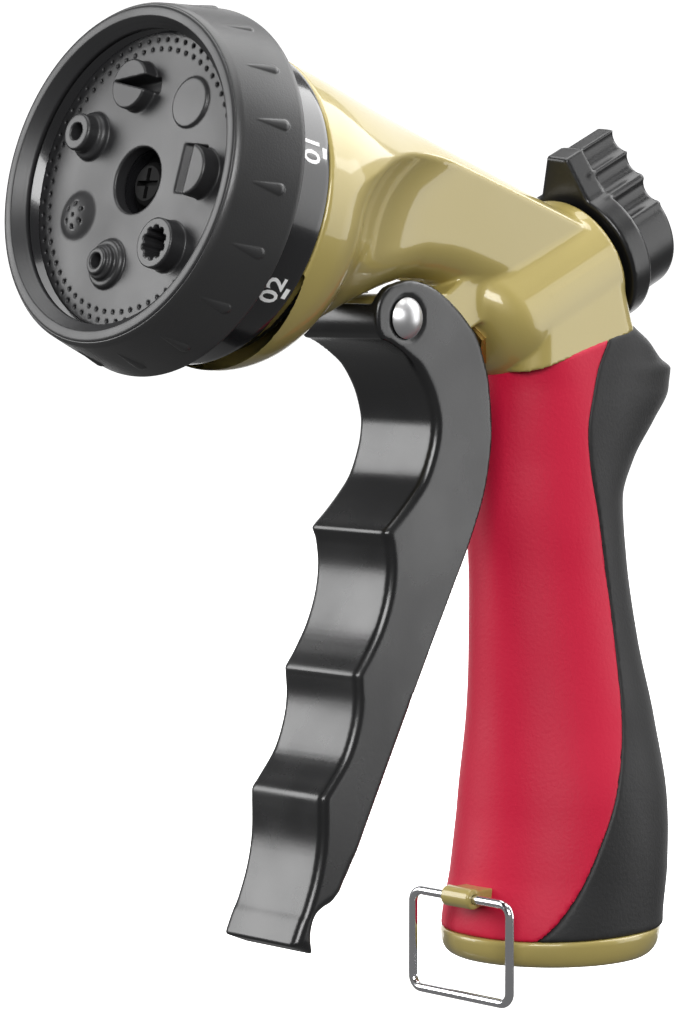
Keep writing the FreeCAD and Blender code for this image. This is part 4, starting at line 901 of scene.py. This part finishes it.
def plain(name, colour, glow):
    made = bpy.data.materials.new(name)
    made.use_nodes = True
    shader = made.node_tree.nodes["Principled BSDF"]
    shader.inputs["Base Color"].default_value = (*colour, 1)
    shader.inputs["Roughness"].default_value = PLAIN_ROUGH
    shader.inputs["Specular IOR Level"].default_value = PLAIN_SPECULAR
    shader.inputs["Emission Color"].default_value = (*colour, 1)
    shader.inputs["Emission Strength"].default_value = glow
    return made


bpy.ops.mesh.primitive_circle_add(vertices=64, radius=FLOOR_RADIUS, fill_type="NGON",
                                  location=(0, 0, FLOOR_LEVEL))
floor = bpy.context.object
floor.name = "floor"
floor.data.materials.append(plain("pale_floor", (0.96, 0.96, 0.96), FLOOR_GLOW))
floor.visible_diffuse = floor.visible_glossy = False

world = bpy.data.worlds.new("studio")
scene.world = world
world.use_nodes = True
world.node_tree.nodes["Background"].inputs["Color"].default_value = (1, 1, 1, 1)
world.node_tree.nodes["Background"].inputs["Strength"].default_value = WORLD_LIGHT

bpy.ops.mesh.primitive_uv_sphere_add(segments=64, ring_count=32, radius=DOME_SIZE)
dome = bpy.context.object
dome.name = "backdrop"
dome.data.materials.append(plain("white_backdrop", (1, 1, 1), 1.0))
for kind in ("diffuse", "glossy", "transmission", "volume_scatter", "shadow"):
    setattr(dome, "visible_" + kind, False)


def softbox(name, direction, distance, size, power):
    """Soft light that faces the object from a direction; distance and size in metres, power in watts."""
    data = bpy.data.lights.new(name, "AREA")
    data.shape, data.size, data.size_y, data.energy = "RECTANGLE", size[0], size[1], power
    lamp = linked(name, data)
    lamp.location = CENTRE + Vector(direction).normalized() * distance
    lamp.rotation_euler = (CENTRE - lamp.location).to_track_quat("-Z", "Y").to_euler()


softbox("top", (-0.1, 0.1, 1.0), 0.7, (0.6, 0.8), 5.5)
softbox("front_left", (-0.73, -0.635, 0.28), 0.9, (0.45, 0.6), 5.2)
softbox("right", (0.62, 0.76, 0.14), 0.9, (0.5, 0.65), 2.6)
softbox("high_rear", (0.2, 0.75, 0.63), 0.9, (0.7, 0.5), 5.0)
softbox("rear", (-0.68, 0.72, 0.12), 1.1, (1.3, 1.0), 5.2)
softbox("fill", (0.70, -0.60, 0.38), 1.0, (0.6, 0.4), 8.0)

camera = linked("camera", bpy.data.cameras.new("camera"))
scene.camera = camera
AZIMUTH, ELEVATION = math.radians(47.005), math.radians(4.092)
back_way = Vector((math.sin(AZIMUTH) * math.cos(ELEVATION), -math.cos(AZIMUTH) * math.cos(ELEVATION),
                   math.sin(ELEVATION)))
camera.location = (0.48397, -0.50442, 0.13261)
camera.rotation_mode = "QUATERNION"
camera.rotation_quaternion = (-back_way).to_track_quat("-Z", "Y")
camera.data.lens, camera.data.sensor_width = 135.3, 36
camera.data.clip_start, camera.data.clip_end = 0.01, 20
